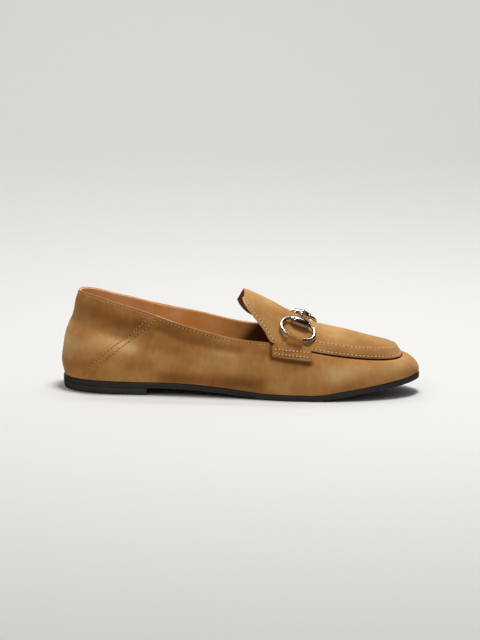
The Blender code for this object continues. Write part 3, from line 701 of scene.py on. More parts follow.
@dataclass(frozen=True)
class Suede:
    """Split-side calf brushed to a short nap.

    The eye gets soft cloudy patches where the nap lies different ways, a fine
    fuzz, no gloss, and a paler rim of light where the fibres catch it.
    """

    name: str
    deep: str = "#7E4F26"
    dark: str = "#9C6834"
    middle: str = "#B07A42"
    light: str = "#C2935A"
    bright: str = "#D8B07B"
    cloud: float = 38.0 * MM
    brush: float = 3.0 * MM
    nap: float = 0.28 * MM
    nap_height: float = 0.10 * MM

    def make(self) -> bpy.types.Material:
        """Build the material."""
        material, tree, shader = new_material(self.name)
        clouds = noise(tree, self.cloud, 2.0, (1.3, 1.0, 0.7))
        strokes = noise(tree, self.brush, 4.0, (1.0, 1.0, 2.4))
        fuzz = noise(tree, self.nap, 2.0)
        both = add_node(
            tree, "ShaderNodeMix", {"data_type": "FLOAT"}, {0: 0.22}, {2: clouds, 3: strokes}
        ).outputs[0]
        speckled = add_node(
            tree, "ShaderNodeMix", {"data_type": "FLOAT"}, {0: 0.20}, {2: both, 3: fuzz}
        ).outputs[0]
        # The nap attribute adds nap patches together with painted light and shade: darker in
        # hollows, creases, under the saddles and by the sole, lighter on swellings and the toe.
        brushed = add_node(tree, "ShaderNodeAttribute", {"attribute_name": "nap"}).outputs["Fac"]
        tone = add_node(
            tree, "ShaderNodeMath", {"operation": "ADD"}, links={0: speckled, 1: brushed}
        ).outputs[0]
        stops = (
            (0.24, self.deep), (0.40, self.dark), (0.50, self.middle), (0.62, self.light),
            (0.78, self.bright),
        )
        tree.links.new(ramp(tree, tone, stops), shader.inputs["Base Color"])
        fine = add_node(
            tree, "ShaderNodeBump", sockets={"Strength": 0.6, "Distance": self.nap_height},
            links={"Height": fuzz},
        )
        broad = add_node(
            tree, "ShaderNodeBump", sockets={"Strength": 0.5, "Distance": 3.0 * self.nap_height},
            links={"Height": both, "Normal": fine.outputs[0]},
        )
        tree.links.new(broad.outputs[0], shader.inputs["Normal"])
        shader.inputs["Roughness"].default_value = 0.92
        shader.inputs["Specular IOR Level"].default_value = 0.15
        shader.inputs["Sheen Weight"].default_value = 0.28
        shader.inputs["Sheen Roughness"].default_value = 0.45
        shader.inputs["Sheen Tint"].default_value = linear("#EFD9B8")
        return material


@dataclass(frozen=True)
class Leather:
    """Smooth or raw leather: a tanned colour with fine grain and a slight gloss.

    The eye gets an even warm skin, small pores and faint uneven dyeing.
    """

    name: str
    dark: str
    light: str
    rough: float = 0.5
    grain: float = 0.7 * MM
    cloud: float = 14.0 * MM
    height: float = 0.05 * MM
    # Colour of painted shade, mixed in by the mesh's shade attribute; none when empty.
    painted_shade_colour: str = ""

    def make(self) -> bpy.types.Material:
        """Build the material, darkened by painted shade where the mesh's shade attribute says."""
        material, tree, shader = new_material(self.name)
        colour = ramp(tree, noise(tree, self.cloud, 4.0), ((0.35, self.dark), (0.68, self.light)))
        if self.painted_shade_colour:
            # Painted shade: the attribute pulls the colour towards the shade colour.
            painted_shade = add_node(tree, "ShaderNodeAttribute", {"attribute_name": "painted_shade"}).outputs["Fac"]
            colour = add_node(
                tree, "ShaderNodeMix", {"data_type": "RGBA"}, {7: linear(self.painted_shade_colour)},
                {0: painted_shade, 6: colour},
            ).outputs[2]
        tree.links.new(colour, shader.inputs["Base Color"])
        relief = add_node(
            tree, "ShaderNodeBump", sockets={"Strength": 0.5, "Distance": self.height},
            links={"Height": noise(tree, self.grain, 3.0)},
        )
        tree.links.new(relief.outputs[0], shader.inputs["Normal"])
        shader.inputs["Roughness"].default_value = self.rough
        return material


@dataclass(frozen=True)
class Rubber:
    """Moulded black rubber with a fine eggshell skin.

    The eye gets a dark grey band of soft sheen with no colour of its own.
    """

    name: str
    dark: str = "#32302F"
    light: str = "#3D3B39"
    rough: float = 0.48

    def make(self) -> bpy.types.Material:
        """Build the material."""
        material, tree, shader = new_material(self.name)
        colour = ramp(tree, noise(tree, 20.0 * MM, 3.0), ((0.35, self.dark), (0.7, self.light)))
        tree.links.new(colour, shader.inputs["Base Color"])
        skin = add_node(
            tree, "ShaderNodeBump", sockets={"Strength": 0.3, "Distance": 0.03 * MM},
            links={"Height": noise(tree, 0.5 * MM, 2.0)},
        )
        tree.links.new(skin.outputs[0], shader.inputs["Normal"])
        shader.inputs["Roughness"].default_value = self.rough
        shader.inputs["IOR"].default_value = 1.52
        return material


@dataclass(frozen=True)
class Nickel:
    """Cast zinc bit, polished and nickel plated.

    The eye gets hard bright and dark reflections with the faintest buffing haze.
    """

    name: str
    colour: str = "#E3DFDA"
    rough: float = 0.15

    def make(self) -> bpy.types.Material:
        """Build the material."""
        material, tree, shader = new_material(self.name)
        shader.inputs["Base Color"].default_value = linear(self.colour)
        shader.inputs["Metallic"].default_value = 1.0
        spread = add_node(
            tree, "ShaderNodeMapRange",
            sockets={"To Min": 0.7 * self.rough, "To Max": 1.6 * self.rough},
            links={"Value": noise(tree, 3.0 * MM, 3.0)},
        )
        tree.links.new(spread.outputs[0], shader.inputs["Roughness"])
        return material


@dataclass(frozen=True)
class Plain:
    """Even matt surface: the painted shade inside a needle hole, or the studio paper."""

    name: str
    colour: str
    rough: float = 0.8

    def make(self) -> bpy.types.Material:
        """Build the material."""
        material, _, shader = new_material(self.name)
        shader.inputs["Base Color"].default_value = linear(self.colour)
        shader.inputs["Roughness"].default_value = self.rough
        shader.inputs["Specular IOR Level"].default_value = 0.2
        return material


@dataclass(frozen=True)
class Thread:
    """Bonded polyester sewing thread: matt, its twist a faint change of tone."""

    name: str
    shade: str
    light: str
    rough: float = 0.7

    def make(self) -> bpy.types.Material:
        """Build the material."""
        material, tree, shader = new_material(self.name)
        twist = ramp(tree, noise(tree, 0.8 * MM, 1.0), ((0.3, self.shade), (0.7, self.light)))
        tree.links.new(twist, shader.inputs["Base Color"])
        shader.inputs["Roughness"].default_value = self.rough
        shader.inputs["Specular IOR Level"].default_value = 0.2
        return material


@dataclass
class Finishes:
    """All materials of the shoe, made once."""

    suede: bpy.types.Material = field(default_factory=lambda: Suede("camel_suede").make())
    # Lighter copy of the camel suede for the plug: painted light on its upward faces.
    plug: bpy.types.Material = field(
        default_factory=lambda: Suede(
            "camel_suede_plug_painted_light", "#8A5A2E", "#A5733F", "#B4854E", "#C69A62", "#DDB684"
        ).make()
    )
    cut: bpy.types.Material = field(
        default_factory=lambda: Leather("raw_cut_suede", "#BC9163", "#D3B084", 0.9).make()
    )
    counter: bpy.types.Material = field(
        default_factory=lambda: Leather("counter_lining", "#ECBC86", "#F6CFA0", 0.6).make()
    )
    # Waxed tan lining, darkened with painted shade where its shade attribute is set.
    lining: bpy.types.Material = field(
        default_factory=lambda: Leather(
            "waxed_tan_lining", "#EDB268", "#F7CA90", 0.38, painted_shade_colour="#54341D"
        ).make()
    )
    # Vamp lining of brown drill, made near black to paint the shade inside the toe and under the
    # tongue.
    vamp_lining: bpy.types.Material = field(
        default_factory=lambda: Leather("brown_drill_vamp_lining_and_painted_shade", "#4A2C17", "#5E3A20", 0.8).make()
    )
    # Underside of the plug and tongue: the tan lining darkened to brown as painted shade.
    underside: bpy.types.Material = field(
        default_factory=lambda: Leather("tongue_underside_painted_shade", "#7A4826", "#935C33", 0.85).make()
    )
    sock: bpy.types.Material = field(
        default_factory=lambda: Leather("waxed_tan_sock", "#BE8350", "#CF9966", 0.5).make()
    )
    sole: bpy.types.Material = field(default_factory=lambda: Rubber("moulded_sole_rubber").make())
    heel: bpy.types.Material = field(
        default_factory=lambda: Rubber("moulded_heel_rubber", "#3E3C3A", "#4A4745").make()
    )
    metal: bpy.types.Material = field(default_factory=lambda: Nickel("polished_nickel").make())
    thread: bpy.types.Material = field(
        default_factory=lambda: Thread("bonded_thread", "#B0875A", "#C89E6E").make()
    )
    pale_thread: bpy.types.Material = field(
        default_factory=lambda: Thread("pale_bonded_thread", "#D2AF84", "#E4C398").make()
    )
    # Dark discs of painted shade inside each needle hole.
    hole: bpy.types.Material = field(
        default_factory=lambda: Plain("needle_hole_painted_shade", "#3C2412", 0.95).make()
    )


@dataclass
class Stitching:
    """Lockstitch rows gathered into one piece of thread and one of dark discs, painted shade in
    each needle hole.
    """

    name: str
    pitch: float = 2.8 * MM
    radius: float = 0.33 * MM
    span: float = 0.66
    arch: float = 0.20 * MM
    sink: float = 0.30 * MM
    hole: float = 0.46 * MM
    sides: int = 6
    starts: list[Array] = field(default_factory=list)
    ends: list[Array] = field(default_factory=list)
    normals: list[Array] = field(default_factory=list)

    def row(self, points: Array, normals: Array) -> None:
        """Add one row of stitches along a line on the surface."""
        points, normals = resample(points, self.pitch, points * 0.0 + normals)
        step = points[1:] - points[:-1]
        middle = 0.5 * (points[1:] + points[:-1])
        self.starts.append(middle - 0.5 * self.span * step)
        self.ends.append(middle + 0.5 * self.span * step)
        self.normals.append(unit(normals[1:] + normals[:-1]))

    def build(self, thread: bpy.types.Material, hole: bpy.types.Material) -> list[bpy.types.Object]:
        """Make the thread and the dark discs of painted shade where the needle goes in."""
        start, end = np.concatenate(self.starts), np.concatenate(self.ends)
        normal = np.concatenate(self.normals)
        along = unit(end - start)
        across = np.cross(along, normal)
        share = np.array([0.0, 0.14, 0.5, 0.86, 1.0])
        height = np.array([-self.sink, 0.6 * self.arch, self.arch, 0.6 * self.arch, -self.sink])
        line = start[:, None] + (end - start)[:, None] * share[None, :, None]
        line = line + normal[:, None] * height[None, :, None]
        angle = np.linspace(0.0, math.tau, self.sides, endpoint=False)
        turn = normal[:, None] * np.cos(angle)[:, None] + across[:, None] * np.sin(angle)[:, None]
        points = line[:, :, None] + self.radius * turn[:, None]
        faces = []
        rows, sides = len(share), self.sides
        for n in range(len(start)):
            base = n * rows * sides
            for j in range(rows - 1):
                for i in range(sides):
                    a = base + j * sides + i
                    b = base + j * sides + (i + 1) % sides
                    faces.append((a, b, b + sides, a + sides))
        made = [mesh_object(f"{self.name}_thread", points, faces, [thread])]
        centres = np.concatenate([start, end]) + np.tile(normal, (2, 1)) * 0.05 * MM
        ones, twos = np.tile(along, (2, 1)), np.tile(across, (2, 1))
        circle = ones[:, None] * np.cos(angle)[:, None] + twos[:, None] * np.sin(angle)[:, None]
        discs = centres[:, None] + self.hole * circle
        rims = [tuple(range(n * sides, (n + 1) * sides))[::-1] for n in range(len(centres))]
        made.append(mesh_object(f"{self.name}_holes", discs, rims, [hole]))
        return made


@dataclass(frozen=True)
class Crease:
    """A soft hollow, or a swelling when its depth is negative, along a line on one side.

    The path is in the side view: x and z in millimetres.
    """

    side: Side
    path: Rows
    depth: float
    width: float

    def relief(self, points: Array) -> Array:
        """Height it adds at points of the wall."""
        away, _ = distance_to(points[:, [0, 2]], np.array(self.path) * MM)
        near = smooth_step(0.5 + float(self.side) * points[:, 1] / (16.0 * MM))
        return -self.depth * MM * bump(away / (self.width * MM)) * near


# Main folds and hollows seen in the photo, and quieter ones on the inner side.
CREASES = (
    Crease(Side.LATERAL, ((-26, 53), (-12, 50), (4, 45), (16, 42)), 3.2, 7.5),
    Crease(Side.LATERAL, ((8, 42), (16, 40.5), (23, 43)), 1.2, 2.6),
    Crease(Side.LATERAL, ((-27, 17), (-8, 18), (12, 19)), -1.8, 8.0),
    Crease(Side.LATERAL, ((-14, 33), (2, 32), (20, 30)), -0.8, 6.5),
    Crease(Side.LATERAL, ((24, 46), (33, 48), (42, 49)), 0.7, 3.5),
    Crease(Side.LATERAL, ((40, 48), (50, 43), (62, 40), (94, 34)), 1.6, 4.0),
    Crease(Side.LATERAL, ((30, 31), (60, 30), (90, 28)), -0.8, 8.0),
    Crease(Side.LATERAL, ((40, 15), (76, 13), (108, 13)), 2.0, 5.0),
    Crease(Side.LATERAL, ((119.2, 46), (119.2, 31), (130.4, 29.4), (147.6, 27.5)), 0.9, 0.9),
    Crease(Side.MEDIAL, ((119.2, 46), (119.2, 31.7), (130.4, 30.2), (147.6, 28.0)), 0.9, 0.9),
    Crease(Side.LATERAL, ((126, 24), (140, 17), (150, 14)), 0.30, 3.5),
    Crease(Side.LATERAL, ((150, 22), (160, 16)), 0.25, 3.5),
    Crease(Side.MEDIAL, ((-24, 52), (-8, 48), (12, 46)), 0.9, 7.0),
    Crease(Side.MEDIAL, ((-20, 30), (4, 30)), -0.7, 9.0),
    Crease(Side.MEDIAL, ((34, 49), (60, 45), (90, 38)), 0.7, 5.0),
    Crease(Side.MEDIAL, ((46, 18), (80, 15), (106, 14)), 0.9, 6.5),
    Crease(Side.MEDIAL, ((124, 24), (142, 16)), 0.30, 3.5),
)


@dataclass(frozen=True)
class NapAndShadePatch:
    """A patch of nap lying another way together with painted light and shade: lighter when its
    amount is positive.

    The path is in the side view: x and z in millimetres.
    """

    side: Side
    path: Rows
    amount: float
    width: float

    def tone(self, points: Array) -> Array:
        """Change of tone at points of the wall."""
        away, _ = distance_to(points[:, [0, 2]], np.array(self.path) * MM)
        near = smooth_step(0.5 + float(self.side) * points[:, 1] / (16.0 * MM))
        return self.amount * bump(away / (self.width * MM)) * near


# Patches of nap and of painted light and shade seen in the photo, then quieter ones on the inner
# side.
NAP_AND_SHADE_PATCHES = (
    # Painted shade in the hollow under the back's topline, painted light on the swelling below it.
    NapAndShadePatch(Side.LATERAL, ((-22, 60), (-4, 57), (12, 50), (24, 50)), -0.15, 7.0),
    NapAndShadePatch(Side.LATERAL, ((-26, 32), (-8, 35), (6, 36), (20, 33)), 0.24, 7.0),
    # Painted shade along the quarter's creases.
    NapAndShadePatch(Side.LATERAL, ((24, 52), (33, 47)), -0.10, 4.0),
    NapAndShadePatch(Side.LATERAL, ((42, 49), (54, 44), (72, 39), (96, 34)), -0.11, 3.6),
    # Painted shade along the bottom by the sole, painted light on the swelling above it and on the
    # toe.
    NapAndShadePatch(Side.LATERAL, ((44, 13), (76, 11), (112, 11)), -0.22, 5.5),
    NapAndShadePatch(Side.LATERAL, ((40, 28), (85, 26), (125, 23)), 0.06, 8.0),
    NapAndShadePatch(Side.LATERAL, ((166, 20), (188, 22), (210, 22)), 0.19, 8.0),
    # Painted shadow under the lower edges of the saddles.
    NapAndShadePatch(Side.LATERAL, ((119.2, 40), (119.2, 30), (130.4, 28.4), (147.6, 26.5)), -0.30, 1.4),
    NapAndShadePatch(Side.MEDIAL, ((119.2, 40), (119.2, 31), (130.4, 29.4), (147.6, 27.2)), -0.30, 1.4),
    # Inner side: painted shade in the back hollow and by the sole, painted light on the swelling.
    NapAndShadePatch(Side.MEDIAL, ((-20, 58), (10, 52)), -0.06, 9.0),
    NapAndShadePatch(Side.MEDIAL, ((0, 30), (60, 30), (110, 26)), 0.06, 9.0),
    NapAndShadePatch(Side.MEDIAL, ((50, 12), (106, 12)), -0.07, 6.0),
)


class Part(IntEnum):
    """The three runs of the wall on each side, from the back to the tip."""

    BACK_PIECE = 0
    QUARTER = 1
    VAMP = 2


@dataclass
class UpperShell:
    """Outer suede: back piece, quarters with their raw edges, and vamp.

    The quarter lies over the back piece along a slanting seam and over the vamp
    at a short slit beside the saddle.
    """

    thickness: float = 1.0 * MM
    seam_step: float = 0.85 * MM
    slit_step: float = 1.0 * MM
    slit_low: float = 0.70
    seam_rows: tuple[float, float] = (1.5 * MM, 5.2 * MM)
    corner: float = 3.0 * MM
    rows: int = 46
    columns: tuple[int, int, int] = (40, 108, 104)
    inset: float = 0.0

    def stops(self, side: Side) -> tuple[Array, Array]:
        """Parameters at the feather and at the top of the four lines between the runs."""
        back, tip = (float(LAST.t(s, side)) for s in (0.0, float(SIZES.tip)))
        low = [LAST.t_at(x, side, False) for x in (SIZES.seam_feather, SIZES.slit)]
        high = [LAST.t_at(x, side, True) for x in (SIZES.seam_top, SIZES.slit)]
        return np.array([back, *low, tip]), np.array([back, *high, tip])

    def at(
        self, side: Side, part: Part, share: Array, v: Array, lift: Array | float = 0.0
    ) -> Array:
        """Points of the finished outer skin.

        Args:
            side: Side of the shoe.
            part: Run of the wall.
            share: Share of the way along the run.
            v: Share of the way up.
            lift: Height added over the skin.

        Returns:
            One point for each pair.
        """
        low, high = self.stops(side)
        share, v = np.broadcast_arrays(np.atleast_1d(share), v)
        t_low = low[part] + (low[part + 1] - low[part]) * share
        t_high = high[part] + (high[part + 1] - high[part]) * share
        t = t_low + (t_high - t_low) * v
        base = LAST.wall(t, v)
        return base + LAST.wall_normal(t, v) * (self.relief(part, share, v, base) + lift)[:, None]

    def relief(self, part: Part, share: Array, v: Array, base: Array) -> Array:
        """Height of the skin over the last: overlaps, stitched hollows and creases."""
        grown = np.clip(v / 0.15, 0.0, 1.0)
        made = sum(crease.relief(base) for crease in CREASES) * np.clip(v / 0.2, 0.0, 1.0)
        if part is Part.QUARTER:
            made = made + self.seam_step * np.maximum(1.0 - 3.0 * share, 0.0) * grown
            high = smooth_step((v - self.slit_low) / 0.12)
            made = made + self.slit_step * high * smooth_step((share - 0.80) / 0.18)
            beside = 0.75 * share * (137.0 - 50.0 * v) * MM
            for gap in self.seam_rows:
                made = made - 0.22 * MM * grown * bump((beside - gap) / (0.7 * MM))
        if part is not Part.VAMP:
            below = (1.0 - v) * np.maximum(base[:, 2] / np.maximum(v, 0.2), 0.03)
            made = made - 0.28 * MM * bump((below - 2.0 * MM) / (0.9 * MM))
        else:
            made = made - 0.55 * MM * smooth_step((v - 0.90) / 0.08)
        return made - self.inset

    def normal(self, side: Side, part: Part, share: Array, v: Array) -> Array:
        """Outward normals of the finished skin."""
        step = 0.004
        share, v = np.clip(share, step, 1.0 - step), np.clip(v, step, 1.0 - step)
        along = self.at(side, part, share + step, v) - self.at(side, part, share - step, v)
        up = self.at(side, part, share, v + step) - self.at(side, part, share, v - step)
        return unit(np.cross(along, up)) * -float(side)

    def top(self, share: Array, part: Part) -> Array:
        """Highest v of each column: the quarter's front corner is rounded off."""
        if part is not Part.QUARTER:
            return np.ones_like(share)
        run = 0.087 * (1.0 - share)
        inside = np.clip(1.0 - run / self.corner, 0.0, 1.0)
        return 1.0 - self.corner * (1.0 - np.sqrt(1.0 - inside ** 2)) / (38.0 * MM)

    def shares(self, part: Part) -> Array:
        """Columns of one run, closer together at its ends."""
        count = self.columns[part]
        even = np.linspace(0.0, 1.0, count + 1)
        return even - 0.11 * np.sin(math.tau * even) / (math.tau / 2.0)

    def build(self, finishes: Finishes) -> bpy.types.Object:
        """Make the suede shell."""
        strips = []
        marks = []
        climb = np.linspace(0.0, 1.0, self.rows + 1)
        for side in (Side.LATERAL, Side.MEDIAL):
            half = []
            for part in Part:
                shares = self.shares(part)
                s, k = np.meshgrid(shares, climb, indexing="ij")
                v = k * self.top(shares, part)[:, None]
                points = self.at(side, part, s.ravel(), v.ravel())
                half.append(points.reshape(len(shares), -1, 3))
            marks += [len(half[0]), len(half[0]) + len(half[1])]
            strip = np.concatenate(half)
            strips.append(strip if side is Side.LATERAL else strip[::-1])
        columns = np.concatenate(strips)
        count, rows = columns.shape[:2]
        faces = grid_faces(count, rows, ring=True)
        total = len(strips[1])
        edges = {marks[0] - 1, marks[1] - 1}
        edges |= {len(strips[0]) + total - 1 - m for m in (marks[2], marks[3])}
        slots = np.array([2 if (n // (rows - 1)) in edges else 0 for n in range(len(faces))])
        materials = [finishes.suede, finishes.lining, finishes.cut]
        made = mesh_object("upper_suede", columns, faces, materials, slots)
        places = np.array([tuple(vertex.co) for vertex in made.data.vertices])
        # The nap attribute holds nap patches and painted light and shade from the patch list.
        nap = made.data.attributes.new("nap", "FLOAT", "POINT")
        nap.data.foreach_set("value", sum(patch.tone(places) for patch in NAP_AND_SHADE_PATCHES))
        thicken(made, self.thickness, inside=1, rim=2, soften=0.18 * MM)
        dress(made, ("upper",))
        return made

    def sew(self, work: Stitching) -> None:
        """Stitch the topline and the two rows of the slanting seam, on both sides."""
        for side in (Side.LATERAL, Side.MEDIAL):
            for part, ends in ((Part.BACK_PIECE, (0.0, 0.985)), (Part.QUARTER, (0.03, 0.955))):
                share = np.linspace(*ends, 160)
                rate = LAST.wall(self.t_top(side, part, share), np.full(160, 0.96))
                rate = np.linalg.norm(LAST.wall(self.t_top(side, part, share), 1.0) - rate, axis=1)
                v = 1.0 - 0.04 * (2.0 * MM) / rate
                work.row(self.at(side, part, share, v), self.normal(side, part, share, v))
            for gap in self.seam_rows:
                v = np.linspace(0.04, 0.95, 90)
                run = (137.0 + (87.0 - 137.0) * v) * MM
                share = gap / 0.75 / run
                points = self.at(side, Part.QUARTER, share, v)
                work.row(points, self.normal(side, Part.QUARTER, share, v))

    def t_top(self, side: Side, part: Part, share: Array) -> Array:
        """Parameters along the top line of one run."""
        high = self.stops(side)[1]
        return high[part] + (high[part + 1] - high[part]) * share


@dataclass
class UpperLining:
    """Inner skin of the wall and of the vamp, with the counter's seam.

    It shows through the topline: a pinkish counter at the back, then orange tan that darkens with
    painted shade under the tongue, then the near-black vamp lining.
    """

    depth: float = 1.08 * MM
    thickness: float = 0.85 * MM
    seam_low: float = 30.0 * MM
    seam_high: float = 34.0 * MM
    vamp_start: float = 114.0 * MM
    # Painted shade on the quarter lining: it fades in between these two x places, along a line that
    # slants with height.
    painted_shade_from: float = 98.5 * MM
    painted_shade_to: float = 110.0 * MM
    painted_shade_height: float = 42.0 * MM
    painted_shade_slant: float = 0.7
    step: float = 0.35 * MM
    rows: int = 24

    def wall(self, side: Side, back: bool) -> Array:
        """Grid of one run of the inner wall, from back to front."""
        start, tip = (float(LAST.t(s, side)) for s in (0.0, float(SIZES.tip)))
        low = LAST.t_at(self.seam_low, side, False)
        high = LAST.t_at(self.seam_high, side, True)
        share = np.linspace(0.0, 1.0, 60 if back else 130)
        ends = ((start, low), (start, high)) if back else ((low, tip), (high, tip))
        s, v = np.meshgrid(share, np.linspace(0.03, 0.996, self.rows), indexing="ij")
        s, v = s.ravel(), v.ravel()
        v = v * (1.0 if back else 1.0 - 0.05 * smooth_step((s - 0.72) / 0.15))
        t_low, t_high = (a + (b - a) * s for a, b in ends)
        t = t_low + (t_high - t_low) * v
        under = self.depth + (0.0 if back else self.step * np.maximum(1.0 - 12.0 * s, 0.0))
        folds = sum(crease.relief(LAST.wall(t, v)) for crease in CREASES)
        folds = folds * np.clip(v / 0.2, 0.0, 1.0)
        points = LAST.wall(t, v) + LAST.wall_normal(t, v) * (folds - under)[:, None]
        return points.reshape(len(share), self.rows, 3)

    def build(self, finishes: Finishes) -> list[bpy.types.Object]:
        """Make the counter, the quarter linings and the vamp's lining."""
        made = []
        strips = [self.wall(Side.MEDIAL, True)[::-1], self.wall(Side.LATERAL, True)[1:]]
        grid = np.concatenate(strips)
        faces = grid_faces(*grid.shape[:2])
        made.append(mesh_object("counter_lining", grid, faces, [finishes.counter]))
        strips = [self.wall(Side.LATERAL, False), self.wall(Side.MEDIAL, False)[::-1][1:]]
        grid = np.concatenate(strips)
        faces = grid_faces(*grid.shape[:2])
        # Faces forward of vamp_start take the near-black vamp lining, partly painted shade under
        # the tongue.
        slots = grid.reshape(-1, 3)[faces].mean(axis=1)[:, 0] > self.vamp_start
        materials = [finishes.lining, finishes.vamp_lining]
        quarter = mesh_object("quarter_lining", grid, faces, materials, slots)
        # Painted shade: the lining darkens forward of a slanting line, where the tongue shades it.
        place = grid.reshape(-1, 3)
        slant = self.painted_shade_slant * (place[:, 2] - self.painted_shade_height)
        reach = place[:, 0] - slant - self.painted_shade_from
        painted_shade = quarter.data.attributes.new("painted_shade", "FLOAT", "POINT")
        painted_shade.data.foreach_set("value", smooth_step(reach / (self.painted_shade_to - self.painted_shade_from)))
        made.append(quarter)
        # Lining under the plug, near black as painted shade inside the toe.
        stations = np.linspace(SIZES.throat - 0.1, 17.2, 60)
        eta = -np.cos(np.linspace(0.0, math.pi, 33))
        s, e = np.meshgrid(stations, eta, indexing="ij")
        grid = PLUG.point(s.ravel(), e.ravel(), 2.15 * MM).reshape(len(stations), len(eta), 3)
        faces = grid_faces(*grid.shape[:2])
        made.append(mesh_object("vamp_lining", grid, faces, [finishes.vamp_lining]))
        for piece in made:
            thicken(piece, self.thickness, soften=0.15 * MM)
            dress(piece)
        return made


@dataclass
class Apron:
    """Plug and tongue in one piece of suede, with its raised roll.

    A raw edge lies on the vamp with a row of stitches over it, and a second row
    pinches the ridge where the plug turns down.
    """

    inset: float = -0.3 * MM
    lift: float = 0.7 * MM
    thickness: float = 1.45 * MM
    edge_row: float = 1.6 * MM
    ridge_row: float = 8.2 * MM
    roll: float = 0.5 * MM
    across: int = 84
    tip_rows: int = 10
    tip_tuck: float = 0.75 * MM
    nose_drop: float = 1.9 * MM

    def stations(self) -> Array:
        """Stations of the rows, closer together at the tip."""
        tip = SIZES.tip
        ease = 1.0 - (1.0 - np.linspace(0.0, 1.0, 34)[1:]) ** 2
        return np.concatenate([
            np.linspace(PLUG.start, SIZES.throat, 46)[:-1],
            np.linspace(SIZES.throat, tip - 1.0, 100), tip - 1.0 + ease,
        ])

    def surface(self) -> tuple[Array, Array, Array, Array]:
        """Grid of the outer surface with its roll.

        Returns:
            Points, normals, distance to the edge and run along the edge, all on the grid.
        """
        stations = self.stations()
        eta = -np.cos(np.linspace(0.0, math.pi, self.across + 1))
        s, e = np.meshgrid(stations, eta, indexing="ij")
        shape = (*s.shape, 3)
        grid = PLUG.point(s.ravel(), e.ravel(), self.inset, self.lift).reshape(shape)
        normal = unit(np.cross(np.gradient(grid, axis=0), np.gradient(grid, axis=1)))
        normal[-1] = unit(normal[-2].mean(axis=0))
        rim = np.concatenate([grid[:, 0], grid[::-1, -1]])
        away, run = distance_to(grid.reshape(-1, 3), rim[::2])
        away, run = away.reshape(s.shape), run.reshape(s.shape)
        fore = smooth_step((s - SIZES.throat + 0.2) / 1.2)
        rear = np.linalg.norm(grid - grid[:1], axis=2)
        height = self.roll * bump((away - 7.2 * MM) / (3.0 * MM))
        height -= 0.45 * MM * bump((away - self.ridge_row) / (0.8 * MM))
        height -= 0.40 * MM * bump((away - 10.6 * MM) / (1.6 * MM))
        nose = smooth_step((s - (SIZES.tip - 3.0)) / 2.0)
        nose *= smooth_step(away / (2.4 * MM))
        height -= self.tip_tuck * smooth_step((s - (SIZES.tip - 1.1)) / 0.9)
        height -= self.nose_drop * nose * bump((away - 4.6 * MM) / (4.2 * MM))
        height *= fore
        height -= 0.25 * MM * bump((away - self.edge_row) / (0.8 * MM))
        height -= 0.20 * MM * bump((rear - self.edge_row) / (0.8 * MM)) * (away > 3.0 * MM)
        return grid + normal * height[:, :, None], normal, away, run

    def build(self, finishes: Finishes) -> bpy.types.Object:
        """Make the plug and tongue."""
        points = self.surface()[0][: -self.tip_rows]
        faces = grid_faces(*points.shape[:2])
        # The inner face takes the underside leather, darkened as painted shade.
        materials = [finishes.plug, finishes.underside, finishes.cut]
        made = mesh_object("apron_suede", points, faces, materials)
        thicken(made, self.thickness, inside=1, rim=2, soften=0.25 * MM)
        dress(made, ("apron",))
        return made

    def contour(self, level: float, first_row: int) -> tuple[Array, Array]:
        """Line on the surface at one distance from the edge, from lateral to medial.

        Args:
            level: Distance from the edge.
            first_row: First row of the grid that the line uses.

        Returns:
            Points and normals.
        """
        points, normal, away, run = (a[first_row:] for a in self.surface())
        found = []
        for axis in (0, 1):
            if axis == 0:
                ends = (slice(None, -1), slice(None)), (slice(1, None), slice(None))
            else:
                ends = (slice(None), slice(None, -1)), (slice(None), slice(1, None))
            a, b = ends
            hit = (away[a] - level) * (away[b] - level) < 0.0
            share = ((level - away[a][hit]) / (away[b][hit] - away[a][hit]))[:, None]
            place = points[a][hit] + (points[b][hit] - points[a][hit]) * share
            turned = unit(normal[a][hit] + normal[b][hit])
            found.append(np.concatenate([place, turned, run[a][hit][:, None]], axis=1))
        rows = np.concatenate(found)
        rows = rows[np.argsort(rows[:, 6])]
        kernel = np.ones(5) / 5.0
        smooth = np.stack([np.convolve(rows[:, k], kernel, "valid") for k in range(6)], axis=1)
        return smooth[:, :3], unit(smooth[:, 3:6])

    def sew(self, work: Stitching) -> None:
        """Stitch the edge all round and the ridge forward of the saddles."""
        edge = self.contour(self.edge_row, 2)
        work.row(*edge)
        first = int(np.searchsorted(self.stations(), SIZES.throat + 1.6))
        work.row(*self.contour(self.ridge_row, first))


@dataclass(frozen=True)
class BitSizes:
    """Sizes of the metal bit and of the places of its rings."""

    wire: float = 0.0013
    ring_half: float = 0.0123
    ring_half_width: float = 0.0083
    bar_half: float = 0.0077
    sleeve_half: float = 0.0070
    sleeve_radius: float = 0.0034
    sleeve_bore: float = 0.00145
    bar_height: float = 0.0041
    low_bar_height: float = 0.0040
    low_eta: tuple[float, float] = (0.88, 0.88)
    high_eta: tuple[float, float] = (0.49, 0.53)
    station: float = SIZES.throat + 0.99
    link_eta: float = 0.05
    link_height: float = 0.0037
    eye_radius: float = 0.0023
    eye_wire: float = 0.00080
    eye_spacing: float = 0.0018
    shank: tuple[float, float] = (0.0015, 0.00085)
    plug_inset: float = 0.0004
    plug_lift: float = 0.0005


BIT = BitSizes()


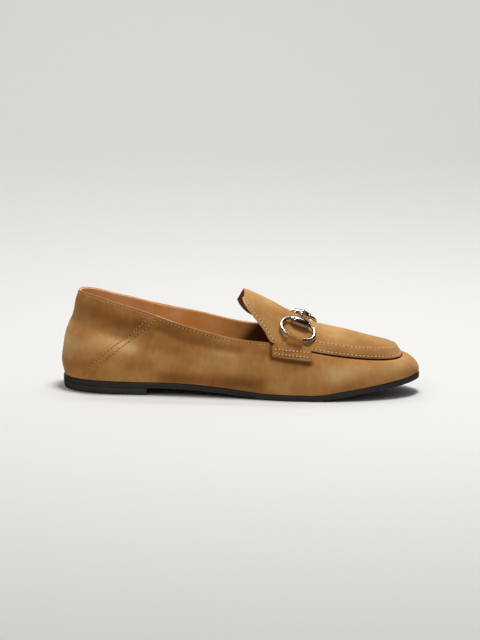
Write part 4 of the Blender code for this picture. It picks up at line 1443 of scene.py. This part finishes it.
@dataclass(frozen=True)
class RingFrame:
    """Place of a ring: centre, half distance of its bars and its three axes."""

    centre: Array
    half: float
    along: Array
    down: Array
    normal: Array

    @classmethod
    def of(cls, side: Side) -> "RingFrame":
        """Frame of the ring on one side, laid on the plug's shoulder."""
        seat = {}
        low, high = (float(side) * eta[side > 0] for eta in (BIT.low_eta, BIT.high_eta))
        for key, ahead, eta, height in (
            ("low", -0.04, low, BIT.low_bar_height), ("high", 0.03, high, BIT.bar_height),
        ):
            at = (BIT.station + ahead, eta)
            point = PLUG.point(*at, BIT.plug_inset, BIT.plug_lift)[0]
            seat[key] = point + PLUG.normal(*at) * height
        at = (BIT.station, 0.5 * (low + high))
        step = (PLUG.point(at[0] + 0.5, at[1]) - PLUG.point(at[0] - 0.5, at[1]))[0]
        down = unit(seat["low"] - seat["high"])
        along = unit(step - down * float(np.dot(step, down)))
        normal = np.cross(along, down)
        normal = normal if normal[2] > 0.0 else -normal
        half = BIT.ring_half_width
        return cls(seat["high"] + down * half, half, along, down, normal)


def label(side: Side) -> str:
    """Name of a side."""
    return side.name.lower()


@dataclass
class Ring:
    """Oval snaffle ring: a straight upper bar for the sleeve and a round lower half."""

    side: Side

    def build(self, finishes: Finishes) -> bpy.types.Object:
        """Sweep the wire round the ring."""
        frame = RingFrame.of(self.side)
        corner = BIT.ring_half - BIT.bar_half
        outline = [(x, -frame.half) for x in np.linspace(-BIT.bar_half, BIT.bar_half, 24)]
        quarter = np.linspace(0.0, math.pi / 2.0, 26)[1:-1]
        outline += [
            (BIT.bar_half + corner * math.sin(a), -frame.half * math.cos(a)) for a in quarter
        ]
        for a in np.linspace(0.0, math.pi, 90):
            outline.append((BIT.ring_half * math.cos(a), frame.half * math.sin(a)))
        outline += [
            (-BIT.bar_half - corner * math.sin(a), -frame.half * math.cos(a)) for a in quarter[::-1]
        ]
        flat = np.array(outline)
        path = frame.centre + frame.along * flat[:, :1] + frame.down * flat[:, 1:]
        points, faces = tube(path, BIT.wire, frame.normal, 20, closed=True)
        name = f"bit_ring_{label(self.side)}_polished"
        made = mesh_object(name, points, faces, [finishes.metal])
        dress(made, (f"bit_ring_{label(self.side)}",))
        return made


@dataclass
class BitArm:
    """Half of the bit's bar: a barrel sleeve on the ring, a shank and an eye."""

    side: Side
    # Outline of the barrel: shares of its half length and of its radius.
    barrel: Rows = (
        (-1.00, 0.60), (-0.99, 0.70), (-0.90, 0.74), (-0.87, 0.70), (-0.85, 0.66),
        (-0.82, 0.72), (-0.70, 0.86), (-0.50, 0.95), (-0.25, 0.99), (0.00, 1.00),
    )

    def build(self, finishes: Finishes) -> bpy.types.Object:
        """Turn the barrel, draw the shank and bend the eye."""
        frame = RingFrame.of(self.side)
        bar = frame.centre - frame.down * frame.half
        at = (BIT.station + 0.05, BIT.link_eta)
        crest = PLUG.normal(*at)
        meeting = PLUG.point(*at, BIT.plug_inset, BIT.plug_lift)[0] + crest * BIT.link_height
        eye = meeting + np.array([0.0, float(self.side) * 0.5 * BIT.eye_spacing, 0.0])
        profile = list(self.barrel) + [(-x, r) for x, r in self.barrel[-2::-1]]
        shares = np.array(profile)
        bore = BIT.sleeve_bore / BIT.sleeve_radius
        shares = np.concatenate([[(-0.96, bore)], shares, [(0.96, bore)]])
        path = bar + frame.along * (shares[:, :1] * BIT.sleeve_half)
        meshes = [self.lathe(path, shares[:, 1] * BIT.sleeve_radius, frame.along, frame.normal)]
        direction = unit(eye - bar)
        start = bar + direction * 0.5 * (BIT.sleeve_bore + BIT.sleeve_radius)
        end = eye - direction * BIT.eye_radius
        run = np.linspace(0.0, 1.0, 14)
        line = start + (end - start) * run[:, None]
        radius = BIT.shank[0] + (BIT.shank[1] - BIT.shank[0]) * smooth_step(1.25 * run)
        meshes.append(tube(line, radius, frame.along, 14, closed=False))
        axis = crest if self.side < 0 else unit(np.cross(direction, crest))
        turn = np.linspace(0.0, math.tau, 40, endpoint=False)[:, None]
        one = unit(direction - axis * float(np.dot(direction, axis)))
        circle = eye + BIT.eye_radius * (one * np.cos(turn) + np.cross(axis, one) * np.sin(turn))
        meshes.append(tube(circle, BIT.eye_wire, axis, 12, closed=True))
        points, faces, start = [], [], 0
        for vertices, polygons in meshes:
            points.append(vertices)
            faces += [tuple(start + k for k in face) for face in polygons]
            start += len(vertices)
        name = f"bit_arm_{label(self.side)}_polished"
        made = mesh_object(name, np.concatenate(points), faces, [finishes.metal])
        dress(made, (f"bit_arm_{label(self.side)}",), f"bit_arm_{label(self.side)}")
        return made

    @staticmethod
    def lathe(path: Array, radius: Array, axis: Array, first: Array) -> tuple[Array, list]:
        """Vertices and faces of a shape turned round a straight axis."""
        sides = 40
        angle = np.linspace(0.0, math.tau, sides, endpoint=False)[:, None]
        turn = first * np.cos(angle) + np.cross(axis, first) * np.sin(angle)
        points = path[:, None] + radius[:, None, None] * turn[None]
        faces = []
        for j in range(len(path) - 1):
            for i in range(sides):
                n = (i + 1) % sides
                faces.append(
                    (j * sides + i, j * sides + n, (j + 1) * sides + n, (j + 1) * sides + i)
                )
        return points.reshape(-1, 3), faces


@dataclass
class Saddle:
    """Side patch of suede whose neck folds over the ring's lower bar."""

    side: Side
    thickness: float = 1.7 * MM
    place: float = 0.6425
    half_width: float = 0.0135
    bottom: float = -0.0092
    bottom_skew: float = 0.0003
    shoulders: tuple[float, float] = (0.0020, 0.0004)
    shoulder_skew: float = 0.0014
    neck: float = 0.0053
    reach: float = 0.0056
    columns: int = 26
    # Share of the way up and share of the full width.
    outline: Rows = (
        (0.00, 1.00), (0.20, 1.00), (0.40, 1.00), (0.58, 1.00), (0.70, 0.98),
        (0.80, 0.86), (0.87, 0.60), (0.93, 0.34), (1.02, 0.06),
    )
    # Loop round the bar: along the slope and over the bar, in shares of the reach.
    loop: Rows = (
        (-0.45, 0.05), (-0.32, 0.29), (-0.11, 0.39), (0.14, 0.39), (0.43, 0.30), (0.71, 0.16),
        (0.93, -0.02), (1.00, -0.21), (0.88, -0.38), (0.61, -0.45), (0.32, -0.46), (0.07, -0.46),
    )

    def lines(self) -> tuple[Array, Array]:
        """Section lines over wall and plug, and the run along each from the plug's edge."""
        stations = np.linspace(SIZES.throat - 1.2, SIZES.throat + 3.8, 51)
        rise = np.linspace(0.55, 0.97, 10)
        across = np.linspace(-0.99, -0.40, 14)
        lines, runs = [], []
        for station in stations:
            t = np.full(len(rise), float(LAST.t(station, self.side)))
            wall = LAST.wall(t, rise)
            eta = -float(self.side) * across
            top = PLUG.point(station, eta, BIT.plug_inset, BIT.plug_lift)
            line = np.concatenate([wall, top])
            line[1:-1] = 0.25 * line[:-2] + 0.5 * line[1:-1] + 0.25 * line[2:]
            steps = np.linalg.norm(np.diff(line, axis=0), axis=1)
            run = np.concatenate([[0.0], np.cumsum(steps)])
            lines.append(line)
            runs.append(run - 0.5 * (run[9] + run[10]))
        return np.array(lines), np.array(runs)

    def rows(self) -> tuple[Array, Array]:
        """Grid of the patch's middle surface up to its neck, and its outward normals."""
        frame = RingFrame.of(self.side)
        bar = frame.centre + frame.down * frame.half
        lines, runs = self.lines()
        width_of = Monotone(self.outline)
        share = np.linspace(0.0, 1.02, 46)
        a = np.linspace(-1.0, 1.0, self.columns + 1)
        width = width_of(share)[:, None]
        low_x = place_x(self.place) + a * self.half_width
        neck_x = bar[0] + a * self.neck
        x = neck_x + (low_x - neck_x) * width
        shoulder = self.shoulders[self.side > 0] + self.shoulder_skew * a * width
        bottom = self.bottom + self.bottom_skew * a
        s = bottom + (shoulder - bottom) * share[:, None]

        def surface(x: Array, s: Array) -> Array:
            made = np.zeros((*x.shape, 3))
            for index in np.ndindex(x.shape):
                at = [[np.interp(s[index], run, line[:, k]) for k in range(3)]
                      for line, run in zip(lines, runs)]
                at = np.array(at)
                made[index] = [np.interp(x[index], at[:, 0], at[:, k]) for k in range(3)]
            return made

        middle = surface(x, s)
        normal = np.cross(np.gradient(middle, axis=0), np.gradient(middle, axis=1))
        normal = unit(normal * np.sign(normal[..., 2:].mean()))
        return middle, normal

    def build(self, finishes: Finishes, work: Stitching) -> bpy.types.Object:
        """Make the patch with its loop and sew it down."""
        frame = RingFrame.of(self.side)
        bar = frame.centre + frame.down * frame.half
        middle, normal = self.rows()
        row, place = np.meshgrid(
            np.arange(len(middle)), np.linspace(-1, 1, self.columns + 1), indexing="ij"
        )
        fold = bump((row - 37.0 - 3.0 * place) / 0.9) + bump((row - 41.0 - 2.0 * place) / 0.8)
        fold = 0.35 * MM * fold * bump((place - 0.25) / 0.5)
        raised = middle + normal * (0.5 * self.thickness + 0.4 * MM - fold)[:, :, None]
        curve = Spline(np.arange(len(self.loop)), self.loop)(np.linspace(0, len(self.loop) - 1, 56))
        a = np.linspace(-1.0, 1.0, self.columns + 1) * self.neck
        loop = bar + frame.along * a[None, :, None]
        loop = loop + self.reach * (
            frame.normal * curve[:, 1][:, None, None] - frame.down * curve[:, 0][:, None, None]
        )
        grid = np.concatenate([raised, loop])
        grid[44:50] = 0.5 * grid[44:50] + 0.25 * (grid[43:49] + grid[45:51])
        faces = grid_faces(*grid.shape[:2])
        if self.side is Side.MEDIAL:
            faces = faces[:, ::-1]
        materials = [finishes.suede, finishes.cut]
        made = mesh_object(f"saddle_{label(self.side)}_suede", grid, faces, materials)
        thicken(made, self.thickness, offset=0.0, rim=1, soften=0.25 * MM)
        dress(made, (f"saddle_{label(self.side)}",))
        skin = raised + normal * 0.5 * self.thickness
        for row in (8, 21):
            work.row(skin[row, 1:-1], normal[row, 1:-1])
        return made


def eased(start: float, end: float, count: int) -> Array:
    """Stations from start to end, closer together at both ends."""
    even = np.linspace(0.0, 1.0, count)
    soft = 0.5 - 0.5 * np.cos(math.pi * even)
    return start + (end - start) * (0.35 * even + 0.65 * soft)


@dataclass
class Plate:
    """Plate cut to the feather outline: its side profile runs from bottom to top.

    Each layer is (inset from the feather, height over the sole's underside).
    """

    name: str
    layers: Rows
    stations: Array
    across: int = 10

    def outline(self, inset: float, side: Side) -> Array:
        """Outline points on one side, moved inwards."""
        t = LAST.t(self.stations, side) % 1.0
        flat = LAST.curve(t)[:, :2]
        return np.column_stack([flat, np.zeros(len(t))]) - LAST.outward(t) * inset

    def mesh(self, material: bpy.types.Material) -> bpy.types.Object:
        """Build bottom, side and top."""
        rings = []
        for inset, height in self.layers:
            ring = np.concatenate([
                self.outline(inset, Side.LATERAL), self.outline(inset, Side.MEDIAL)[::-1],
            ])
            ring[:, 2] = LAST.rise(ring[:, 0]) + height
            rings.append(ring)
        side = np.stack(rings, axis=1)
        points = [side.reshape(-1, 3)]
        faces = [grid_faces(*side.shape[:2], ring=True)]
        start = len(points[0])
        for (inset, height), flip in ((self.layers[0], True), (self.layers[-1], False)):
            low = self.outline(inset, Side.LATERAL)
            high = self.outline(inset, Side.MEDIAL)
            share = np.linspace(0.0, 1.0, self.across + 1)[None, :, None]
            grid = low[:, None] + (high - low)[:, None] * share
            grid[..., 2] = LAST.rise(grid[..., 0].ravel()).reshape(grid.shape[:2]) + height
            quads = grid_faces(*grid.shape[:2]) + start
            faces.append(quads[:, ::-1] if flip else quads)
            points.append(grid.reshape(-1, 3))
            start += len(points[-1])
        return mesh_object(self.name, np.concatenate(points), np.concatenate(faces), [material])


@dataclass
class Outsole:
    """Thin moulded outsole with a rounded top lip."""

    proud: float = 0.7 * MM
    lip: float = 0.9 * MM

    def build(self, finishes: Finishes) -> bpy.types.Object:
        """Make the outsole."""
        p, t = -self.proud, SIZES.sole
        layers = (
            (0.4 * MM + p, 0.0), (0.08 * MM + p, 0.15 * MM), (p, 0.5 * MM), (p, t - self.lip),
            (0.12 * MM + p, t - 0.35 * MM), (0.5 * MM + p, t - 0.08 * MM), (1.2 * MM + p, t),
        )
        made = Plate("outsole_rubber", layers, eased(0.0, SIZES.tip, 150)).mesh(finishes.sole)
        dress(made, ("outsole",))
        return made


@dataclass
class Heel:
    """Low stacked heel block with a straight breast."""

    def build(self, finishes: Finishes) -> bpy.types.Object:
        """Make the heel."""
        stations = np.linspace(3.0, 7.0, 400)
        feather = LAST.curve(LAST.t(stations, Side.LATERAL))[:, 0]
        breast = float(stations[np.searchsorted(feather, SIZES.heel_breast)])
        top = SIZES.heel_lift - SIZES.gap
        layers = (
            (0.7 * MM, 0.0), (0.1 * MM, 0.2 * MM), (-0.2 * MM, 0.7 * MM),
            (-0.45 * MM, 0.5 * top), (-0.68 * MM, top + 0.1 * MM), (0.2 * MM, top + 0.26 * MM),
        )
        plate = Plate("heel_rubber", layers, eased(0.0, breast, 60))
        made = plate.mesh(finishes.heel)
        for vertex in made.data.vertices:
            vertex.co.z -= float(LAST.rise(vertex.co.x)[0])
            vertex.co.x = min(vertex.co.x, SIZES.heel_breast)
        dress(made, ("heel",))
        return made


@dataclass
class Sock:
    """Padded leather sock over the insole board."""

    def build(self, finishes: Finishes) -> bpy.types.Object:
        """Make the sock."""
        low = SIZES.sole + SIZES.gap
        layers = ((2.5 * MM, low), (2.4 * MM, low + 1.4 * MM), (2.8 * MM, low + 2.1 * MM))
        made = Plate("sock_leather", layers, eased(0.15, SIZES.tip - 0.15, 90)).mesh(finishes.sock)
        dress(made, ("insole",))
        return made


@dataclass(frozen=True)
class Studio:
    """Pale paper sweep, soft light from above and the photo's long lens."""

    azimuth: float = 1.3
    elevation: float = 10.7
    roll: float = 1.07
    distance: float = 2.2
    target: tuple[float, float, float] = (0.0961, 0.0, 0.0500)
    lens: float = 173.4
    paper: str = "#DDDCDA"
    paper_reflected: str = "#4E4844"

    def floor(self) -> bpy.types.Object:
        """Sweep of paper: flat floor that curves up behind."""
        flat, radius, top, half = 1.3, 0.7, 2.2, 3.0
        profile = [(-2.6, 0.0), (flat, 0.0)]
        for k in range(1, 25):
            angle = math.pi / 2.0 * k / 24.0
            profile.append((flat + radius * math.sin(angle), radius * (1.0 - math.cos(angle))))
        profile.append((flat + radius, top))
        grid = np.array([[(x, y, z) for x in (-half, half)] for y, z in profile])
        faces = grid_faces(*grid.shape[:2])[:, ::-1]
        paper = Plain("matt_paper", self.paper, 0.9).make()
        tree = paper.node_tree
        dim = add_node(
            tree, "ShaderNodeBsdfDiffuse", sockets={"Color": linear(self.paper_reflected)}
        )
        glossy = add_node(tree, "ShaderNodeLightPath").outputs["Is Glossy Ray"]
        seen = tree.nodes["Principled BSDF"].outputs[0]
        both = add_node(tree, "ShaderNodeMixShader", links={0: glossy, 1: seen, 2: dim.outputs[0]})
        tree.links.new(both.outputs[0], tree.nodes["Material Output"].inputs["Surface"])
        made = mesh_object("paper_sweep", grid, faces, [paper])
        return made

    def light(self, name: str, place: tuple, size: tuple, power: float, aim: tuple) -> None:
        """Add one soft area light aimed at a point."""
        data = bpy.data.lights.new(name, "AREA")
        data.shape = "RECTANGLE"
        data.size, data.size_y = size
        data.energy = power
        made = bpy.data.objects.new(name, data)
        made.location = place
        made.rotation_mode = "QUATERNION"
        made.rotation_quaternion = (Vector(aim) - Vector(place)).to_track_quat("-Z", "Y")
        bpy.context.scene.collection.objects.link(made)

    def camera(self) -> None:
        """Place the long lens at the photo's angle."""
        data = bpy.data.cameras.new("camera")
        data.lens = self.lens
        data.sensor_width = 36.0
        data.clip_end = 30.0
        made = bpy.data.objects.new("camera", data)
        a, e = math.radians(self.azimuth), math.radians(self.elevation)
        back = Vector((math.sin(a) * math.cos(e), -math.cos(a) * math.cos(e), math.sin(e)))
        made.location = Vector(self.target) + back * self.distance
        made.rotation_mode = "QUATERNION"
        level = (-back).to_track_quat("-Z", "Y")
        made.rotation_quaternion = level @ Quaternion((0.0, 0.0, 1.0), math.radians(self.roll))
        bpy.context.scene.collection.objects.link(made)
        bpy.context.scene.camera = made

    def build(self) -> None:
        """Set up floor, light, surroundings and camera."""
        self.floor()
        self.light("overhead", (0.22, 0.02, 1.15), (0.36, 0.30), 10.8, (0.12, 0.04, 0.0))
        self.light("backdrop", (-0.10, 1.1, 1.9), (2.2, 0.6), 21.0, (0.0, 1.9, 0.3))
        self.light("front_fill", (-0.7, -1.5, 1.3), (0.6, 0.4), 4.2, (0.1, 0.0, 0.04))
        world = bpy.data.worlds.new("studio")
        bpy.context.scene.world = world
        world.use_nodes = True
        tree = world.node_tree
        room = tree.nodes["Background"]
        room.inputs["Color"].default_value = linear("#EDEAE4")
        room.inputs["Strength"].default_value = 0.26
        dim = {"Color": linear("#2A2422"), "Strength": 0.35}
        reflected = add_node(tree, "ShaderNodeBackground", sockets=dim)
        glossy = add_node(tree, "ShaderNodeLightPath").outputs["Is Glossy Ray"]
        both = add_node(
            tree, "ShaderNodeMixShader",
            links={0: glossy, 1: room.outputs[0], 2: reflected.outputs[0]},
        )
        tree.links.new(both.outputs[0], tree.nodes["World Output"].inputs["Surface"])
        self.camera()
        bpy.context.scene.view_settings.view_transform = "Standard"


def main() -> None:
    """Load the frame, build every piece in order and set the studio."""
    logging.basicConfig(level=logging.INFO, format="%(message)s")
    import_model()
    finishes = Finishes()
    upper_work = Stitching("upper_stitch")
    shell = UpperShell()
    shell.build(finishes)
    shell.sew(upper_work)
    UpperLining().build(finishes)
    plug_work = Stitching("plug_stitch", pitch=2.9 * MM, radius=0.40 * MM, span=0.72)
    apron = Apron()
    apron.build(finishes)
    apron.sew(plug_work)
    saddle_work = Stitching("saddle_stitch", pitch=2.5 * MM, radius=0.38 * MM, span=0.70)
    for side in (Side.LATERAL, Side.MEDIAL):
        Saddle(side).build(finishes, saddle_work)
        Ring(side).build(finishes)
        BitArm(side).build(finishes)
    for work, slot, thread in (
        (upper_work, Slot.SUEDE, finishes.thread),
        (plug_work, Slot.PLUG, finishes.pale_thread),
        (saddle_work, Slot.SUEDE, finishes.pale_thread),
    ):
        for piece in work.build(thread, finishes.hole):
            dress(piece)
    Outsole().build(finishes)
    Heel().build(finishes)
    Sock().build(finishes)
    Studio().build()


if __name__ == "__main__":
    main()
